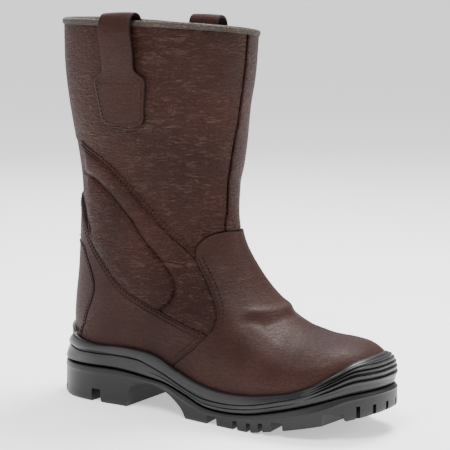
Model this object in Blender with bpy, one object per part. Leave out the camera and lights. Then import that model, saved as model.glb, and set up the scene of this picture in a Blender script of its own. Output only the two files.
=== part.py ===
"""Rigger boot for the right foot: a pull-on work boot with a tall leather shaft on a moulded sole.

Metres, +Z up, toe along +X, the foot's inner side along +Y. The ground is the plane z = 0.
The upper, and every piece that lies on it, comes from one last: a side outline and a table of
sections that fan round the bend of the instep.
"""
import math

import bmesh
import bpy
import numpy as np

MM = 0.001

# Driving sizes of the last.
LENGTH = 0.305
BALL_WIDTH = 0.100
HEEL_HEIGHT = 0.042
INSTEP_HEIGHT = 0.143
COLLAR_HEIGHT = 0.305

# Thicknesses.
WALL = 3.0 * MM
GAP = 0.3 * MM
PANEL_RECESS = 1.8 * MM
PANEL_EDGE = 0.8 * MM
PAD_RISE = 3.8 * MM
QUARTER_TOP = 1.3 * MM
VAMP_TOP = 1.7 * MM
COUNTER_TOP = 1.7 * MM
SOLE_CLEARANCE = 2.0 * MM
INSOLE_THICK = 4.0 * MM
SOLE_BED = 7.0 * MM

# Mesh sizes: columns round the boot and rings up it.
COLUMNS = 40
RINGS = 21

# Levels are 0 at the heel seat, 1 at the instep and 2 at the front of the collar.
# front and level place the top of each section on the front line, from the toe to the collar.
# outer, inner and crest are shares of the ball width; the rest shape the section.
SECTION_COLUMNS = ("front", "level", "outer", "inner", "crest", "widest", "floor", "low", "top")
SECTIONS = (
    (0.972, 0.000, 0.485, 0.445, 0.080, 0.35, 0.97, 2.40, 2.70),
    (0.967, 0.100, 0.490, 0.450, 0.080, 0.35, 0.97, 2.40, 2.70),
    (0.949, 0.190, 0.495, 0.455, 0.075, 0.35, 0.97, 2.40, 2.70),
    (0.916, 0.242, 0.500, 0.460, 0.070, 0.35, 0.97, 2.40, 2.60),
    (0.868, 0.265, 0.505, 0.465, 0.060, 0.35, 0.97, 2.40, 2.50),
    (0.816, 0.275, 0.505, 0.465, 0.050, 0.35, 0.96, 2.40, 2.40),
    (0.763, 0.311, 0.505, 0.465, 0.042, 0.34, 0.96, 2.40, 2.30),
    (0.707, 0.394, 0.505, 0.455, 0.035, 0.33, 0.96, 2.30, 2.15),
    (0.660, 0.513, 0.495, 0.435, 0.028, 0.32, 0.95, 2.30, 2.00),
    (0.619, 0.662, 0.475, 0.410, 0.020, 0.31, 0.94, 2.30, 1.90),
    (0.582, 0.822, 0.443, 0.383, 0.012, 0.33, 0.91, 2.30, 1.85),
    (0.556, 0.990, 0.407, 0.368, 0.005, 0.37, 0.90, 2.30, 1.85),
    (0.546, 1.099, 0.405, 0.385, 0.000, 0.45, 0.94, 2.20, 1.90),
    (0.544, 1.216, 0.430, 0.420, 0.000, 0.49, 0.95, 2.10, 2.00),
    (0.551, 1.352, 0.465, 0.455, 0.000, 0.50, 0.95, 2.10, 2.10),
    (0.561, 1.500, 0.505, 0.495, 0.000, 0.50, 0.95, 2.10, 2.10),
    (0.5705, 1.685, 0.555, 0.545, 0.000, 0.50, 0.95, 2.10, 2.10),
    (0.579, 1.864, 0.595, 0.590, 0.000, 0.50, 0.95, 2.10, 2.10),
    (0.585, 2.000, 0.615, 0.610, 0.000, 0.50, 0.95, 2.10, 2.10),
)

# The back line, from the heel seat up to the back of the collar.
BACK_COLUMNS = ("along", "level")
BACK = (
    (0.0400, 0.000), (0.0360, 0.109), (0.0355, 0.198), (0.0410, 0.386), (0.0500, 0.584),
    (0.0555, 0.842), (0.0580, 1.000), (0.0600, 1.105), (0.0590, 1.240), (0.0460, 1.450),
    (0.0300, 1.654), (0.0230, 1.858), (0.0213, 2.046),
)

# The floor line that the upper stands on, as shares of the length and of the heel height.
FLOOR_COLUMNS = ("along", "height")
FLOOR = (
    (0.040, 1.000), (0.197, 0.990), (0.328, 0.927), (0.426, 0.801), (0.525, 0.597), (0.607, 0.476),
    (0.672, 0.441), (0.754, 0.476), (0.820, 0.560), (0.885, 0.691), (0.934, 0.832), (0.972, 1.000),
)

# The fan of sections turns about this point, in front of the instep.
PIVOT_ALONG = 0.656
PIVOT_LEVEL = 1.253
FAN_REACH = 0.100
TOE_ROUND = (0.705, 2.3)
HEEL_ROUND = (0.150, 2.1)


def column(rows, names, name):
    """One named column of a table."""
    return np.array([row[names.index(name)] for row in rows], float)


def smooth(places, values, at):
    """A smooth curve through a table, read at the given places."""
    places = np.asarray(places, float)
    values = np.asarray(values, float)
    at = np.asarray(at, float)
    steps = np.diff(places)
    rises = np.diff(values) / steps
    slopes = np.empty(len(places))
    slopes[1:-1] = (rises[:-1] * steps[1:] + rises[1:] * steps[:-1]) / (steps[1:] + steps[:-1])
    slopes[0] = rises[0]
    slopes[-1] = rises[-1]
    i = np.clip(np.searchsorted(places, at) - 1, 0, len(steps) - 1)
    t = np.clip((at - places[i]) / steps[i], 0.0, 1.0)
    start = (2 * t ** 3 - 3 * t ** 2 + 1) * values[i] + (t ** 3 - 2 * t ** 2 + t) * slopes[i] * steps[i]
    end = (3 * t ** 2 - 2 * t ** 3) * values[i + 1] + (t ** 3 - t ** 2) * slopes[i + 1] * steps[i]
    return start + end


def height(level):
    """The height above the ground of a level."""
    return np.interp(level, (0, 1, 2, 3), (HEEL_HEIGHT, INSTEP_HEIGHT, COLLAR_HEIGHT,
                                           2 * COLLAR_HEIGHT - INSTEP_HEIGHT))


def lengths(points):
    """The running length along a line of points."""
    return np.concatenate(([0.0], np.cumsum(np.linalg.norm(np.diff(points, axis=0), axis=1))))


def fine_line(points, count=300):
    """A smooth line through a few side-view points, as many close points."""
    run = lengths(points)
    at = np.linspace(0.0, run[-1], count)
    return np.stack([smooth(run, points[:, 0], at), smooth(run, points[:, 1], at)], axis=1)


def along_line(line, share):
    """The point at a share of a line's length."""
    run = lengths(line)
    at = share * run[-1]
    return np.array([np.interp(at, run, line[:, 0]), np.interp(at, run, line[:, 1])])


def rounding(share, power):
    """A quarter of a round: 1 at share 0, falling to 0 at share 1."""
    return (1.0 - np.clip(share, 0.0, 1.0) ** power) ** (1.0 / power)


def ease(share):
    """A soft step from 0 to 1."""
    t = np.clip(share, 0.0, 1.0)
    return t * t * (3.0 - 2.0 * t)


SECTION_POINTS = np.stack([column(SECTIONS, SECTION_COLUMNS, "front") * LENGTH,
                           height(column(SECTIONS, SECTION_COLUMNS, "level"))], axis=1)
BACK_POINTS = np.stack([column(BACK, BACK_COLUMNS, "along") * LENGTH,
                        height(column(BACK, BACK_COLUMNS, "level"))], axis=1)
FLOOR_POINTS = np.stack([column(FLOOR, FLOOR_COLUMNS, "along") * LENGTH,
                         column(FLOOR, FLOOR_COLUMNS, "height") * HEEL_HEIGHT], axis=1)
FRONT_LINE = fine_line(SECTION_POINTS)
BACK_LINE = fine_line(BACK_POINTS)
FLOOR_LINE = fine_line(FLOOR_POINTS)
LOW_LINE = np.vstack([FLOOR_LINE[::-1], BACK_LINE[1:]])
PIVOT = np.array([PIVOT_ALONG * LENGTH, height(PIVOT_LEVEL)])


def fan(x, z):
    """Where a side-view point lies in the fan: which section, and how far from the pivot line."""
    fore = x >= PIVOT[0]
    shaft = ~fore & (z >= PIVOT[1])
    turn = np.arctan2(PIVOT[0] - x, PIVOT[1] - z)
    section = np.where(fore, (PIVOT[0] - x) / FAN_REACH, turn)
    section = np.where(shaft, math.pi / 2 + (z - PIVOT[1]) / FAN_REACH, section)
    reach = np.where(fore, PIVOT[1] - z, np.hypot(x - PIVOT[0], z - PIVOT[1]))
    reach = np.where(shaft, PIVOT[0] - x, reach)
    return section, reach


SECTION_PLACES = fan(SECTION_POINTS[:, 0], SECTION_POINTS[:, 1])[0]
FRONT_FAN = fan(FRONT_LINE[:, 0], FRONT_LINE[:, 1])
LOW_FAN = fan(LOW_LINE[:, 0], LOW_LINE[:, 1])
HEEL_CORNER = LOW_FAN[0][len(FLOOR_LINE) - 1]


def section_value(name, section):
    """A column of the section table, read smoothly anywhere in the fan."""
    values = column(SECTIONS, SECTION_COLUMNS, name)
    return smooth(SECTION_PLACES, values, np.clip(section, SECTION_PLACES[0], SECTION_PLACES[-1]))


def crest(x, z):
    """The sideways place of the middle line of the last."""
    return section_value("crest", fan(x, z)[0]) * BALL_WIDTH


def half_width(x, z, side):
    """The last's half-width at a side-view point, on the outer (-1) or inner (+1) side."""
    section, reach = fan(x, z)
    near = np.interp(section, *FRONT_FAN)
    far = np.interp(section, *LOW_FAN)
    rise = np.clip((far - reach) / np.maximum(far - near, 1e-6), 0.0, 1.0)
    name = "outer" if side < 0 else "inner"
    width = section_value(name, section) - side * section_value("crest", section)
    toe = SECTION_POINTS[0, 0]
    start = TOE_ROUND[0] * LENGTH
    width = width * BALL_WIDTH * rounding((x - start) / (toe - start), TOE_ROUND[1])
    floor_x = np.interp(section, LOW_FAN[0], LOW_LINE[:, 0])
    heel = rounding(1.0 - (floor_x - BACK_POINTS[0, 0]) / (HEEL_ROUND[0] * LENGTH), HEEL_ROUND[1])
    floor = section_value("floor", section) * np.where(section > HEEL_CORNER, 0.0, heel)
    widest = section_value("widest", section)
    low = floor + (1.0 - floor) * rounding(1.0 - rise / widest, section_value("low", section))
    top = rounding((rise - widest) / (1.0 - widest), section_value("top", section))
    return width * np.where(rise < widest, low, top)


def ring_line(share):
    """The side-view line of one ring, from the front to the back: 0 is the floor, 1 the collar."""
    front = along_line(FRONT_LINE, share)
    back = along_line(BACK_LINE, 0.6 * share + 0.4 * share ** 2)
    e = 0.5 - 0.5 * np.cos(np.linspace(0.0, math.pi, 400))
    ends = FLOOR_LINE[-1], FLOOR_LINE[0]
    floor_x = ends[0][0] + (ends[1][0] - ends[0][0]) * e
    chord = ends[0][1] + (ends[1][1] - ends[0][1]) * e
    dip = np.interp(floor_x, FLOOR_LINE[:, 0], FLOOR_LINE[:, 1]) - chord
    fade = max(0.0, 1.0 - share / 0.35) ** 1.5
    x = front[0] + (back[0] - front[0]) * e
    z = front[1] + (back[1] - front[1]) * e + dip * fade
    return np.stack([x, z], axis=1)


def closed_ring(line, columns):
    """The last's outline along a side-view line: front middle, outer side, back, inner side."""
    x, z = line[:, 0], line[:, 1]
    middle = crest(x, z)
    sides = []
    for side in (-1, 1):
        y = middle + side * half_width(x, z, side)
        y[0] = middle[0]
        y[-1] = middle[-1]
        points = np.stack([x, y, z], axis=1)
        run = lengths(points)
        crowd = 1.0 + 0.7 * ease((x - 0.75 * LENGTH) / (0.2 * LENGTH))
        measure = np.concatenate(([0.0], np.cumsum(np.diff(run) * (crowd[1:] + crowd[:-1]) / 2)))
        at = np.linspace(0.0, measure[-1], columns // 2 + 1)
        sides.append(np.stack([np.interp(at, measure, points[:, k]) for k in range(3)], axis=1))
    return np.vstack([sides[0], sides[1][-2:0:-1]])


def outward(rings):
    """The outward direction at every point of a stack of rings."""
    round_step = np.roll(rings, -1, axis=1) - np.roll(rings, 1, axis=1)
    up_step = np.gradient(rings, axis=0)
    normal = np.cross(up_step, round_step)
    return normal / np.maximum(np.linalg.norm(normal, axis=2, keepdims=True), 1e-9)


def last_rings():
    """The last as a stack of rings, and its outward directions."""
    rings = np.array([closed_ring(ring_line(share), COLUMNS) for share in np.linspace(0.0, 1.0, RINGS)])
    normals = outward(rings)
    normals[0, :, 2] = 0.0
    normals[-1, :, 2] = 0.0
    flat = np.linalg.norm(normals, axis=2, keepdims=True)
    return rings, normals / np.maximum(flat, 1e-9)


LAST, NORMALS = last_rings()


def offset_rings(distance):
    """The last's rings moved outwards by a distance, which may differ from point to point."""
    reach = np.broadcast_to(np.asarray(distance, float), LAST.shape[:2])
    return LAST + NORMALS * reach[:, :, None]


def plain(name, colour, roughness):
    """A material of one colour and roughness."""
    material = bpy.data.materials.new(name)
    material.use_nodes = True
    shader = material.node_tree.nodes["Principled BSDF"]
    shader.inputs["Base Color"].default_value = (*colour, 1.0)
    shader.inputs["Roughness"].default_value = roughness
    shader.inputs["Metallic"].default_value = 0.0
    return material


# The collar isn't level: it lifts on the outer side and dips on the inner one, most at the front, in
# millimetres at the rim, fading out down the shaft. along runs from the back to the front.
COLLAR_MIDDLE, COLLAR_REACH, COLLAR_HALF, COLLAR_START = 0.095, 0.078, 0.062, 0.235
RIM_LEVEL, RIM_FORWARD, RIM_OUTWARD, RIM_TWIST = 0.5, -0.3, 2.8, 2.5


def tilt_collar(points):
    """Points with the lift and dip of the collar."""
    points = np.array(points, float)
    along = np.clip((points[:, 0] - COLLAR_MIDDLE) / COLLAR_REACH, -1.1, 1.1)
    out = np.clip(-points[:, 1] / COLLAR_HALF, -1.1, 1.1)
    rise = RIM_LEVEL + RIM_FORWARD * along + RIM_OUTWARD * out + RIM_TWIST * along * out
    points[:, 2] += rise * MM * ease((points[:, 2] - COLLAR_START) / (COLLAR_HEIGHT - COLLAR_START))
    return points


def add_body(name, points, faces, material=None):
    """A closed body as an object, its faces turned outwards."""
    mesh = bpy.data.meshes.new(name)
    mesh.from_pydata(tilt_collar(points).tolist(), [], [tuple(f) for f in faces])
    work = bmesh.new()
    work.from_mesh(mesh)
    bmesh.ops.recalc_face_normals(work, faces=work.faces)
    work.to_mesh(mesh)
    work.free()
    mesh.shade_smooth()
    mesh.set_sharp_from_angle(angle=math.radians(35.0))
    body = bpy.data.objects.new(name, mesh)
    bpy.context.scene.collection.objects.link(body)
    if material:
        mesh.materials.append(material)
    return body


def wall_faces(first, rings, columns):
    """Triangles between the rings of a stack, all split the same way, from a first point's number."""
    faces = []
    for k in range(rings - 1):
        low = first + k * columns
        high = low + columns
        for j in range(columns):
            after = (j + 1) % columns
            faces.append((low + j, high + j, high + after))
            faces.append((low + j, high + after, low + after))
    return faces


def ladder_faces(first, columns):
    """Rungs that close a ring, each from the outer side to the inner."""
    half = columns // 2
    faces = [(first, first + 1, first + columns - 1)]
    for j in range(1, half - 1):
        faces.append((first + j, first + j + 1, first + columns - j - 1))
        faces.append((first + j, first + columns - j - 1, first + columns - j))
    faces.append((first + half - 1, first + half, first + half + 1))
    return faces


def solid_stack(name, rings, material=None):
    """A closed solid from a stack of rings."""
    count, columns = rings.shape[:2]
    faces = wall_faces(0, count, columns)
    faces += ladder_faces(0, columns) + ladder_faces((count - 1) * columns, columns)
    return add_body(name, rings.reshape(-1, 3), faces, material)


def hollow_stack(name, outside, inside, material=None):
    """An open-ended wall between two stacks of rings with the same columns."""
    columns = outside.shape[1]
    start = outside.shape[0] * columns
    faces = wall_faces(0, outside.shape[0], columns) + wall_faces(start, inside.shape[0], columns)
    top_out = start - columns
    top_in = start + (inside.shape[0] - 1) * columns
    for j in range(columns):
        after = (j + 1) % columns
        faces.append((j, after, start + after, start + j))
        faces.append((top_out + j, top_in + j, top_in + after, top_out + after))
    points = np.vstack([outside.reshape(-1, 3), inside.reshape(-1, 3)])
    return add_body(name, points, faces, material)


def prism(name, outline, low, high):
    """A side-view outline as a block from one sideways place to another."""
    count = len(outline)
    points = [(x, low, z) for x, z in outline] + [(x, high, z) for x, z in outline]
    faces = [tuple(range(count)), tuple(range(2 * count - 1, count - 1, -1))]
    for i in range(count):
        after = (i + 1) % count
        faces.append((i, after, count + after, count + i))
    return as_guide(add_body(name, points, faces))


def as_guide(body):
    """Marks a body as a cutter, which is not part of the boot."""
    body.hide_render = True
    body.display_type = "WIRE"
    return body


def combine(body, other, operation):
    """Adds a Boolean of a body with another."""
    step = body.modifiers.new(other.name, "BOOLEAN")
    step.operation = operation
    step.object = other
    step.solver = "EXACT"
    return body


def curve(points, steps=2):
    """A smooth side-view line through points in millimetres."""
    line = np.array(points, float) * MM
    return fine_line(line, steps * (len(line) - 1) + 1)


def inset(outline, distance):
    """A closed outline moved inwards by a distance."""
    outline = np.asarray(outline, float)
    before = outline - np.roll(outline, 1, axis=0)
    after = np.roll(outline, -1, axis=0) - outline
    before = before / np.linalg.norm(before, axis=1, keepdims=True)
    after = after / np.linalg.norm(after, axis=1, keepdims=True)
    area = 0.5 * np.sum(outline[:, 0] * np.roll(outline[:, 1], -1) - np.roll(outline[:, 0], -1) * outline[:, 1])
    turn = 1.0 if area > 0 else -1.0
    sides = [np.stack([-d[:, 1], d[:, 0]], axis=1) * turn for d in (before, after)]
    share = 1.0 + np.sum(sides[0] * sides[1], axis=1, keepdims=True)
    return outline + distance * (sides[0] + sides[1]) / np.maximum(share, 0.5)


# Seams in the side view, in millimetres from the heel and the ground, as (x, z).
SHAFT_EDGE = curve(((28, 215), (47, 207), (57, 203), (70, 196), (90, 180), (110, 160), (133, 137), (147, 126)))
PANEL_FRONT = curve(((147, 126), (153, 117), (160, 108), (166, 99), (171, 91), (174, 82), (172, 74), (168, 70)))
QUARTER_EDGE = curve(((168, 70), (156, 73), (145, 76), (118, 84), (100, 91), (81, 101), (64, 118), (45, 139),
                      (37, 151), (28, 164)))
VAMP_EDGE = curve(((230, 142), (174, 144.5), (170, 147), (165, 148), (158, 146.5), (151, 142.5), (146, 136),
                   (147, 126)))
SIDE_SEAM = curve(((168, 70), (157, 59), (144, 49), (133, 40), (118, 24)))
COUNTER_EDGE = curve(((-20, 132), (26, 132), (35, 129.5), (42, 119), (48, 109), (52, 96), (48, 84), (42, 73),
                      (37, 58), (35, 28)))
PAD_OUTLINE = curve(((43, 187), (38, 178), (37, 170), (40, 156), (46, 143), (60, 127), (78, 109), (98, 95),
                     (119, 88), (130, 94), (131, 104), (115, 126), (102, 141), (83, 165), (66, 179), (54, 187),
                     (43, 187)))
BELOW = -5.0 * MM
SIDEWAYS = 90.0 * MM


def inside_depth(outline, x, z):
    """How far inside a closed outline a side-view point lies, and 0 outside it."""
    start = outline
    step = np.roll(outline, -1, axis=0) - outline
    point = np.stack([x, z], axis=-1)[..., None, :]
    away = point - start
    size = np.maximum(np.sum(step * step, axis=-1), 1e-12)
    share = np.clip(np.sum(away * step, axis=-1) / size, 0.0, 1.0)
    depth = np.linalg.norm(away - share[..., None] * step, axis=-1).min(axis=-1)
    crossing = (start[:, 1] > point[..., 1]) != (start[:, 1] + step[:, 1] > point[..., 1])
    rise = np.where(np.abs(step[:, 1]) < 1e-12, 1e-12, step[:, 1])
    left = point[..., 0] < start[:, 0] + step[:, 0] * (point[..., 1] - start[:, 1]) / rise
    inside = np.sum(crossing & left, axis=-1) % 2 == 1
    return np.where(inside, depth, 0.0)


LEATHER = plain("brown_leather", (0.062, 0.036, 0.030), 0.55)
SMOOTH_LEATHER = plain("smooth_leather", (0.066, 0.039, 0.032), 0.45)
BINDING = plain("collar_binding", (0.095, 0.078, 0.068), 0.60)
SOLE_RUBBER = plain("sole_rubber", (0.030, 0.031, 0.033), 0.55)
FOAM_SOLE = plain("midsole_foam", (0.036, 0.037, 0.039), 0.50)
BOARD = plain("insole_cloth", (0.060, 0.060, 0.062), 0.90)


def make_upper():
    """The hollow upper, open at the collar and underneath, with a recess for each ankle panel."""
    inside = offset_rings(-WALL)[::2]
    inside[0, :, 2] = LAST[0, :, 2]
    inside[-1, :, 2] = LAST[-1, :, 2]
    upper = hollow_stack("upper", LAST, inside, LEATHER)
    outline = np.vstack([SHAFT_EDGE, PANEL_FRONT[1:], QUARTER_EDGE[1:]])
    for name, low, high in (("outer", -SIDEWAYS, 0.0), ("inner", 0.0, SIDEWAYS)):
        cutter = hollow_stack("recess_" + name, offset_rings(8.0 * MM), offset_rings(-PANEL_RECESS))
        combine(as_guide(cutter), prism("recess_outline_" + name, outline, low, high), "INTERSECT")
        combine(upper, cutter, "DIFFERENCE")
    return upper


def overlay(name, bottom, top, outline, low, high, material):
    """A layer between two offsets of the last, cut to a side-view outline."""
    layer = hollow_stack(name, offset_rings(top), offset_rings(bottom), material)
    return combine(layer, prism(name + "_outline", inset(outline, GAP / 2), low, high), "INTERSECT")


def make_ankle_panels():
    """The two ankle panels, each with a raised pad over the ankle bone."""
    depth = inside_depth(PAD_OUTLINE, LAST[:, :, 0], LAST[:, :, 2])
    top = -PANEL_EDGE + PAD_RISE * ease(depth / (12.0 * MM))
    outline = np.vstack([SHAFT_EDGE, PANEL_FRONT[1:], QUARTER_EDGE[1:]])
    bottom = -PANEL_RECESS + GAP
    for name, low, high in (("outer", -SIDEWAYS, 0.0), ("inner", 0.0, SIDEWAYS)):
        overlay("ankle_panel_" + name, bottom, top, outline, low, high, SMOOTH_LEATHER)


def make_vamp():
    """The vamp, over the forefoot and up to its lip on the instep."""
    ground = [(118 * MM, BELOW), (340 * MM, BELOW), (340 * MM, 149 * MM)]
    outline = np.vstack([VAMP_EDGE, PANEL_FRONT[1:], SIDE_SEAM[1:], ground])
    overlay("vamp", GAP, VAMP_TOP, outline, -SIDEWAYS, SIDEWAYS, SMOOTH_LEATHER)


def make_quarters():
    """The two quarters, under the ankle panels and round to the back seam."""
    back = [(-20 * MM, 164 * MM), (-20 * MM, 137 * MM)]
    ground = [(35 * MM, BELOW), (118 * MM, BELOW)]
    outline = np.vstack([QUARTER_EDGE, back, COUNTER_EDGE[1:], ground, SIDE_SEAM[:0:-1]])
    for name, low, high in (("outer", -SIDEWAYS, -GAP / 2), ("inner", GAP / 2, SIDEWAYS)):
        overlay("quarter_" + name, GAP, QUARTER_TOP, outline, low, high, SMOOTH_LEATHER)


def make_counter():
    """The counter that wraps the back of the heel."""
    ground = [(35 * MM, BELOW), (-20 * MM, BELOW)]
    outline = np.vstack([COUNTER_EDGE, ground])
    overlay("heel_counter", GAP, COUNTER_TOP, outline, -SIDEWAYS, SIDEWAYS, SMOOTH_LEATHER)


def make_binding():
    """The rolled binding on the rim of the collar."""
    count = 36
    rim = closed_ring(ring_line(1.0), count)
    step = np.roll(rim, -1, axis=0) - np.roll(rim, 1, axis=0)
    side = np.stack([-step[:, 1], step[:, 0], np.zeros(count)], axis=1)
    side = side / np.linalg.norm(side, axis=1, keepdims=True)
    middle = rim - side * WALL / 2 + np.array([0.0, 0.0, GAP])
    half, tall = 2.4 * MM, 4.4 * MM
    profile = ((half, 0.0), (half + 0.3 * MM, 0.5 * tall), (0.6 * half, 0.92 * tall), (-0.6 * half, 0.92 * tall),
               (-half - 0.3 * MM, 0.5 * tall), (-half, 0.0))
    points = np.vstack([middle + side * out + np.array([0.0, 0.0, up]) for out, up in profile])
    faces = []
    for k in range(len(profile)):
        for j in range(count):
            after = (j + 1) % count
            upper_row = (k + 1) % len(profile) * count
            faces.append((k * count + j, upper_row + j, upper_row + after, k * count + after))
    return add_body("collar_binding", points, faces, BINDING)


# The path of a pull strap, from its patch over the rim and down inside. reach is from the
# outside of the shaft to the middle of the strap, height and half are in millimetres.
STRAP_COLUMNS = ("reach", "height", "half")
STRAP = (
    (1.60, 232.5, 14.0), (1.60, 234.5, 18.5), (1.60, 239.0, 21.0), (1.60, 246.0, 21.8), (1.60, 260.0, 24.0),
    (1.70, 266.5, 24.6), (1.90, 270.5, 20.5), (2.80, 274.5, 15.6), (5.60, 286.0, 15.0), (7.60, 298.0, 15.0),
    (8.20, 309.0, 15.0), (6.60, 316.0, 15.0), (2.60, 319.5, 15.0), (-2.20, 320.0, 15.0), (-6.00, 318.0, 15.0),
    (-7.60, 312.0, 15.0), (-7.20, 301.0, 15.0), (-5.40, 288.0, 15.0), (-5.00, 260.0, 15.0),
)
STRAP_THICK = 2.4 * MM
STRAP_STEPS = 4


def make_strap(name, side, along, drop, lean):
    """A pull strap: one band sewn to the shaft outside and in, with a loop above the rim.

    drop lowers the loop, and lean sets the band forward of its patch.
    """
    reach = column(STRAP, STRAP_COLUMNS, "reach") * MM
    level = column(STRAP, STRAP_COLUMNS, "height") * MM
    level -= drop * ease((level - 0.290) / 0.020)
    half = column(STRAP, STRAP_COLUMNS, "half") * MM
    middle = along + lean * ease((lengths(np.stack([reach, level], axis=1)) - 0.030) / 0.030)
    travel = np.stack([np.gradient(reach), np.gradient(level)], axis=1)
    travel /= np.linalg.norm(travel, axis=1, keepdims=True)
    points = []
    for face in (-0.5, 0.5):
        out = reach + face * STRAP_THICK * travel[:, 1]
        up = level - face * STRAP_THICK * travel[:, 0]
        for k in range(len(STRAP)):
            x = middle[k] + half[k] * np.linspace(-1.0, 1.0, STRAP_STEPS + 1)
            z = np.full_like(x, min(up[k], COLLAR_HEIGHT))
            y = side * (half_width(x, z, side) + out[k])
            points += [(x[i], y[i], up[k]) for i in range(len(x))]
    rows, across = len(STRAP), STRAP_STEPS + 1
    second = rows * across
    faces = []
    for start in (0, second):
        for k in range(rows - 1):
            for i in range(STRAP_STEPS):
                a = start + k * across + i
                faces.append((a, a + 1, a + across + 1, a + across))
    for k in range(rows - 1):
        for i in (0, STRAP_STEPS):
            a = k * across + i
            faces.append((a, a + across, second + a + across, second + a))
    for i in range(STRAP_STEPS):
        for k in (0, rows - 1):
            a = k * across + i
            faces.append((a, a + 1, second + a + 1, second + a))
    return add_body(name, points, faces, LEATHER)


# The sole's side. Heights in millimetres along the boot.
LIP = ((9, 60), (17, 58), (25, 54.5), (38, 51), (54, 49), (77, 50), (93, 50), (114, 48), (135, 40), (161, 31.5),
       (182, 28.5), (208, 29), (231, 32.5), (247, 36), (255, 39), (263, 43), (271, 48.5), (277, 53), (281.5, 57),
       (285, 59.5), (290, 61.5))
GROOVE = ((-10, 29), (40, 30), (83, 30), (103, 28), (127, 25.5), (148, 19.5), (166, 13.5), (185, 12), (208, 14),
          (231, 19), (250, 24), (270, 30), (290, 36), (312, 38))
GROUND = ((-10, 0), (150, 0), (206, 0), (214, 0.4), (225, 2.4), (244, 6.0), (266, 10.8), (290, 16.5), (312, 22))

# Offsets of the sole's side from the floor line of the last, in millimetres, at the toe, the
# sides and the back of the heel. share runs from the groove to the lip, or from the groove down.
SIDE_COLUMNS = ("share", "toe", "side", "heel")
RIBS = 4
RIB_LOW, RIB_HIGH, RIB_DEPTH = 0.36, 0.94, 1.3
MIDSOLE = ((0.00, 5.6, 4.6, 7.4), (0.08, 6.4, 6.0, 8.6), (0.22, 6.8, 6.6, 5.6), (RIB_LOW, 6.4, 7.0, 4.8),
           (RIB_HIGH, 5.0, 5.0, 4.4), (0.985, 4.4, 4.6, 4.0), (1.00, 3.2, 3.4, 3.2))
OUTSOLE = ((0.00, 5.6, 4.6, 7.4), (0.10, 8.0, 6.4, 9.6), (0.45, 8.6, 6.8, 10.2), (0.55, 7.4, 6.2, 10.2),
           (0.93, 6.8, 6.0, 10.4), (1.00, 5.4, 4.8, 9.2))


def line_height(table, x):
    """The height of a sole line at places along the boot."""
    table = np.array(table, float) * MM
    return smooth(table[:, 0], table[:, 1], x)


def side_ring(table, share, line, extra=0.0):
    """One ring of the sole's side: the last's outline at a side-view line, moved outwards."""
    ring = closed_ring(line, COLUMNS)
    step = np.roll(ring, -1, axis=0) - np.roll(ring, 1, axis=0)
    side = np.stack([step[:, 1], -step[:, 0]], axis=1)
    side /= -np.linalg.norm(side, axis=1, keepdims=True)
    toe = ease((ring[:, 0] - 0.80 * LENGTH) / (0.16 * LENGTH))
    heel = ease((0.17 * LENGTH - ring[:, 0]) / (0.13 * LENGTH))
    places = column(table, SIDE_COLUMNS, "share")
    reach = {name: np.interp(share, places, column(table, SIDE_COLUMNS, name)) for name in SIDE_COLUMNS[1:]}
    away = reach["side"] + (reach["toe"] - reach["side"]) * toe + (reach["heel"] - reach["side"]) * heel
    away = (away + extra * toe) * MM
    ring[:, :2] += side * away[:, None]
    return ring


def bed_ring():
    """The ring inside the sole where the outsole carries the midsole, under the floor line."""
    ring = closed_ring(ring_line(0.0), COLUMNS)
    middle = np.array([0.5 * LENGTH, 0.0])
    ring[:, :2] += 0.06 * (middle - ring[:, :2])
    floor = np.interp(ring[:, 0], FLOOR_LINE[:, 0], FLOOR_LINE[:, 1])
    ring[:, 2] = np.minimum(line_height(GROOVE, ring[:, 0]), floor - SOLE_BED)
    return ring


def make_midsole():
    """The cushioned midsole with its lip, and the ribbed bumper round the toe."""
    floor = ring_line(0.0)
    shares = [row[0] for row in MIDSOLE if not RIB_LOW <= row[0] <= RIB_HIGH]
    swell = [0.0] * len(shares)
    for k in range(2 * RIBS + 1):
        shares.append(RIB_LOW + (RIB_HIGH - RIB_LOW) * k / (2 * RIBS))
        swell.append(RIB_DEPTH * (k % 2))
    order = np.argsort(shares)
    rings = []
    for share, extra in ((shares[i], swell[i]) for i in order):
        line = side_line(share, floor) if share > 0 else floor
        ring = side_ring(MIDSOLE, share, line, extra)
        rings.append(sole_heights(ring, closed_ring(line, COLUMNS), share))
    rim = rings[-1].copy()
    middle = closed_ring(side_line(1.0, floor), COLUMNS)
    rim[:, :2] = middle[:, :2]
    well = closed_ring(floor, COLUMNS)
    well[:, :2] += 0.03 * (np.array([0.5 * LENGTH, 0.0]) - well[:, :2])
    well[:, 2] += 1.5 * MM
    bed = bed_ring() + np.array([0.0, 0.0, GAP / 2])
    rings = np.array([bed] + rings + [rim, well])
    midsole = solid_stack("midsole", rings[::-1], FOAM_SOLE)
    form = offset_rings(SOLE_CLEARANCE)
    form = np.vstack([form[:1] - np.array([0.0, 0.0, GAP]), form])
    return combine(midsole, as_guide(solid_stack("last_form", form)), "DIFFERENCE")


def side_line(share, floor):
    """The side-view line on the last at a share of the way from the groove to the lip."""
    ends = []
    for edge in (FRONT_LINE[:120], BACK_LINE[:120]):
        groove = line_height(GROOVE, edge[:, 0])
        over = edge[:, 1] - groove - (line_height(LIP, edge[:, 0]) - groove) * share
        ends.append(np.interp(0.0, over, edge[:, 0]))
    x = floor[:, 0]
    x = ends[0] + (ends[1] - ends[0]) * (x[0] - x) / (x[0] - x[-1])
    groove = line_height(GROOVE, x)
    z = groove + (line_height(LIP, x) - groove) * share
    return np.stack([x, np.maximum(z, np.interp(x, FLOOR_LINE[:, 0], FLOOR_LINE[:, 1]) + GAP)], axis=1)


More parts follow.
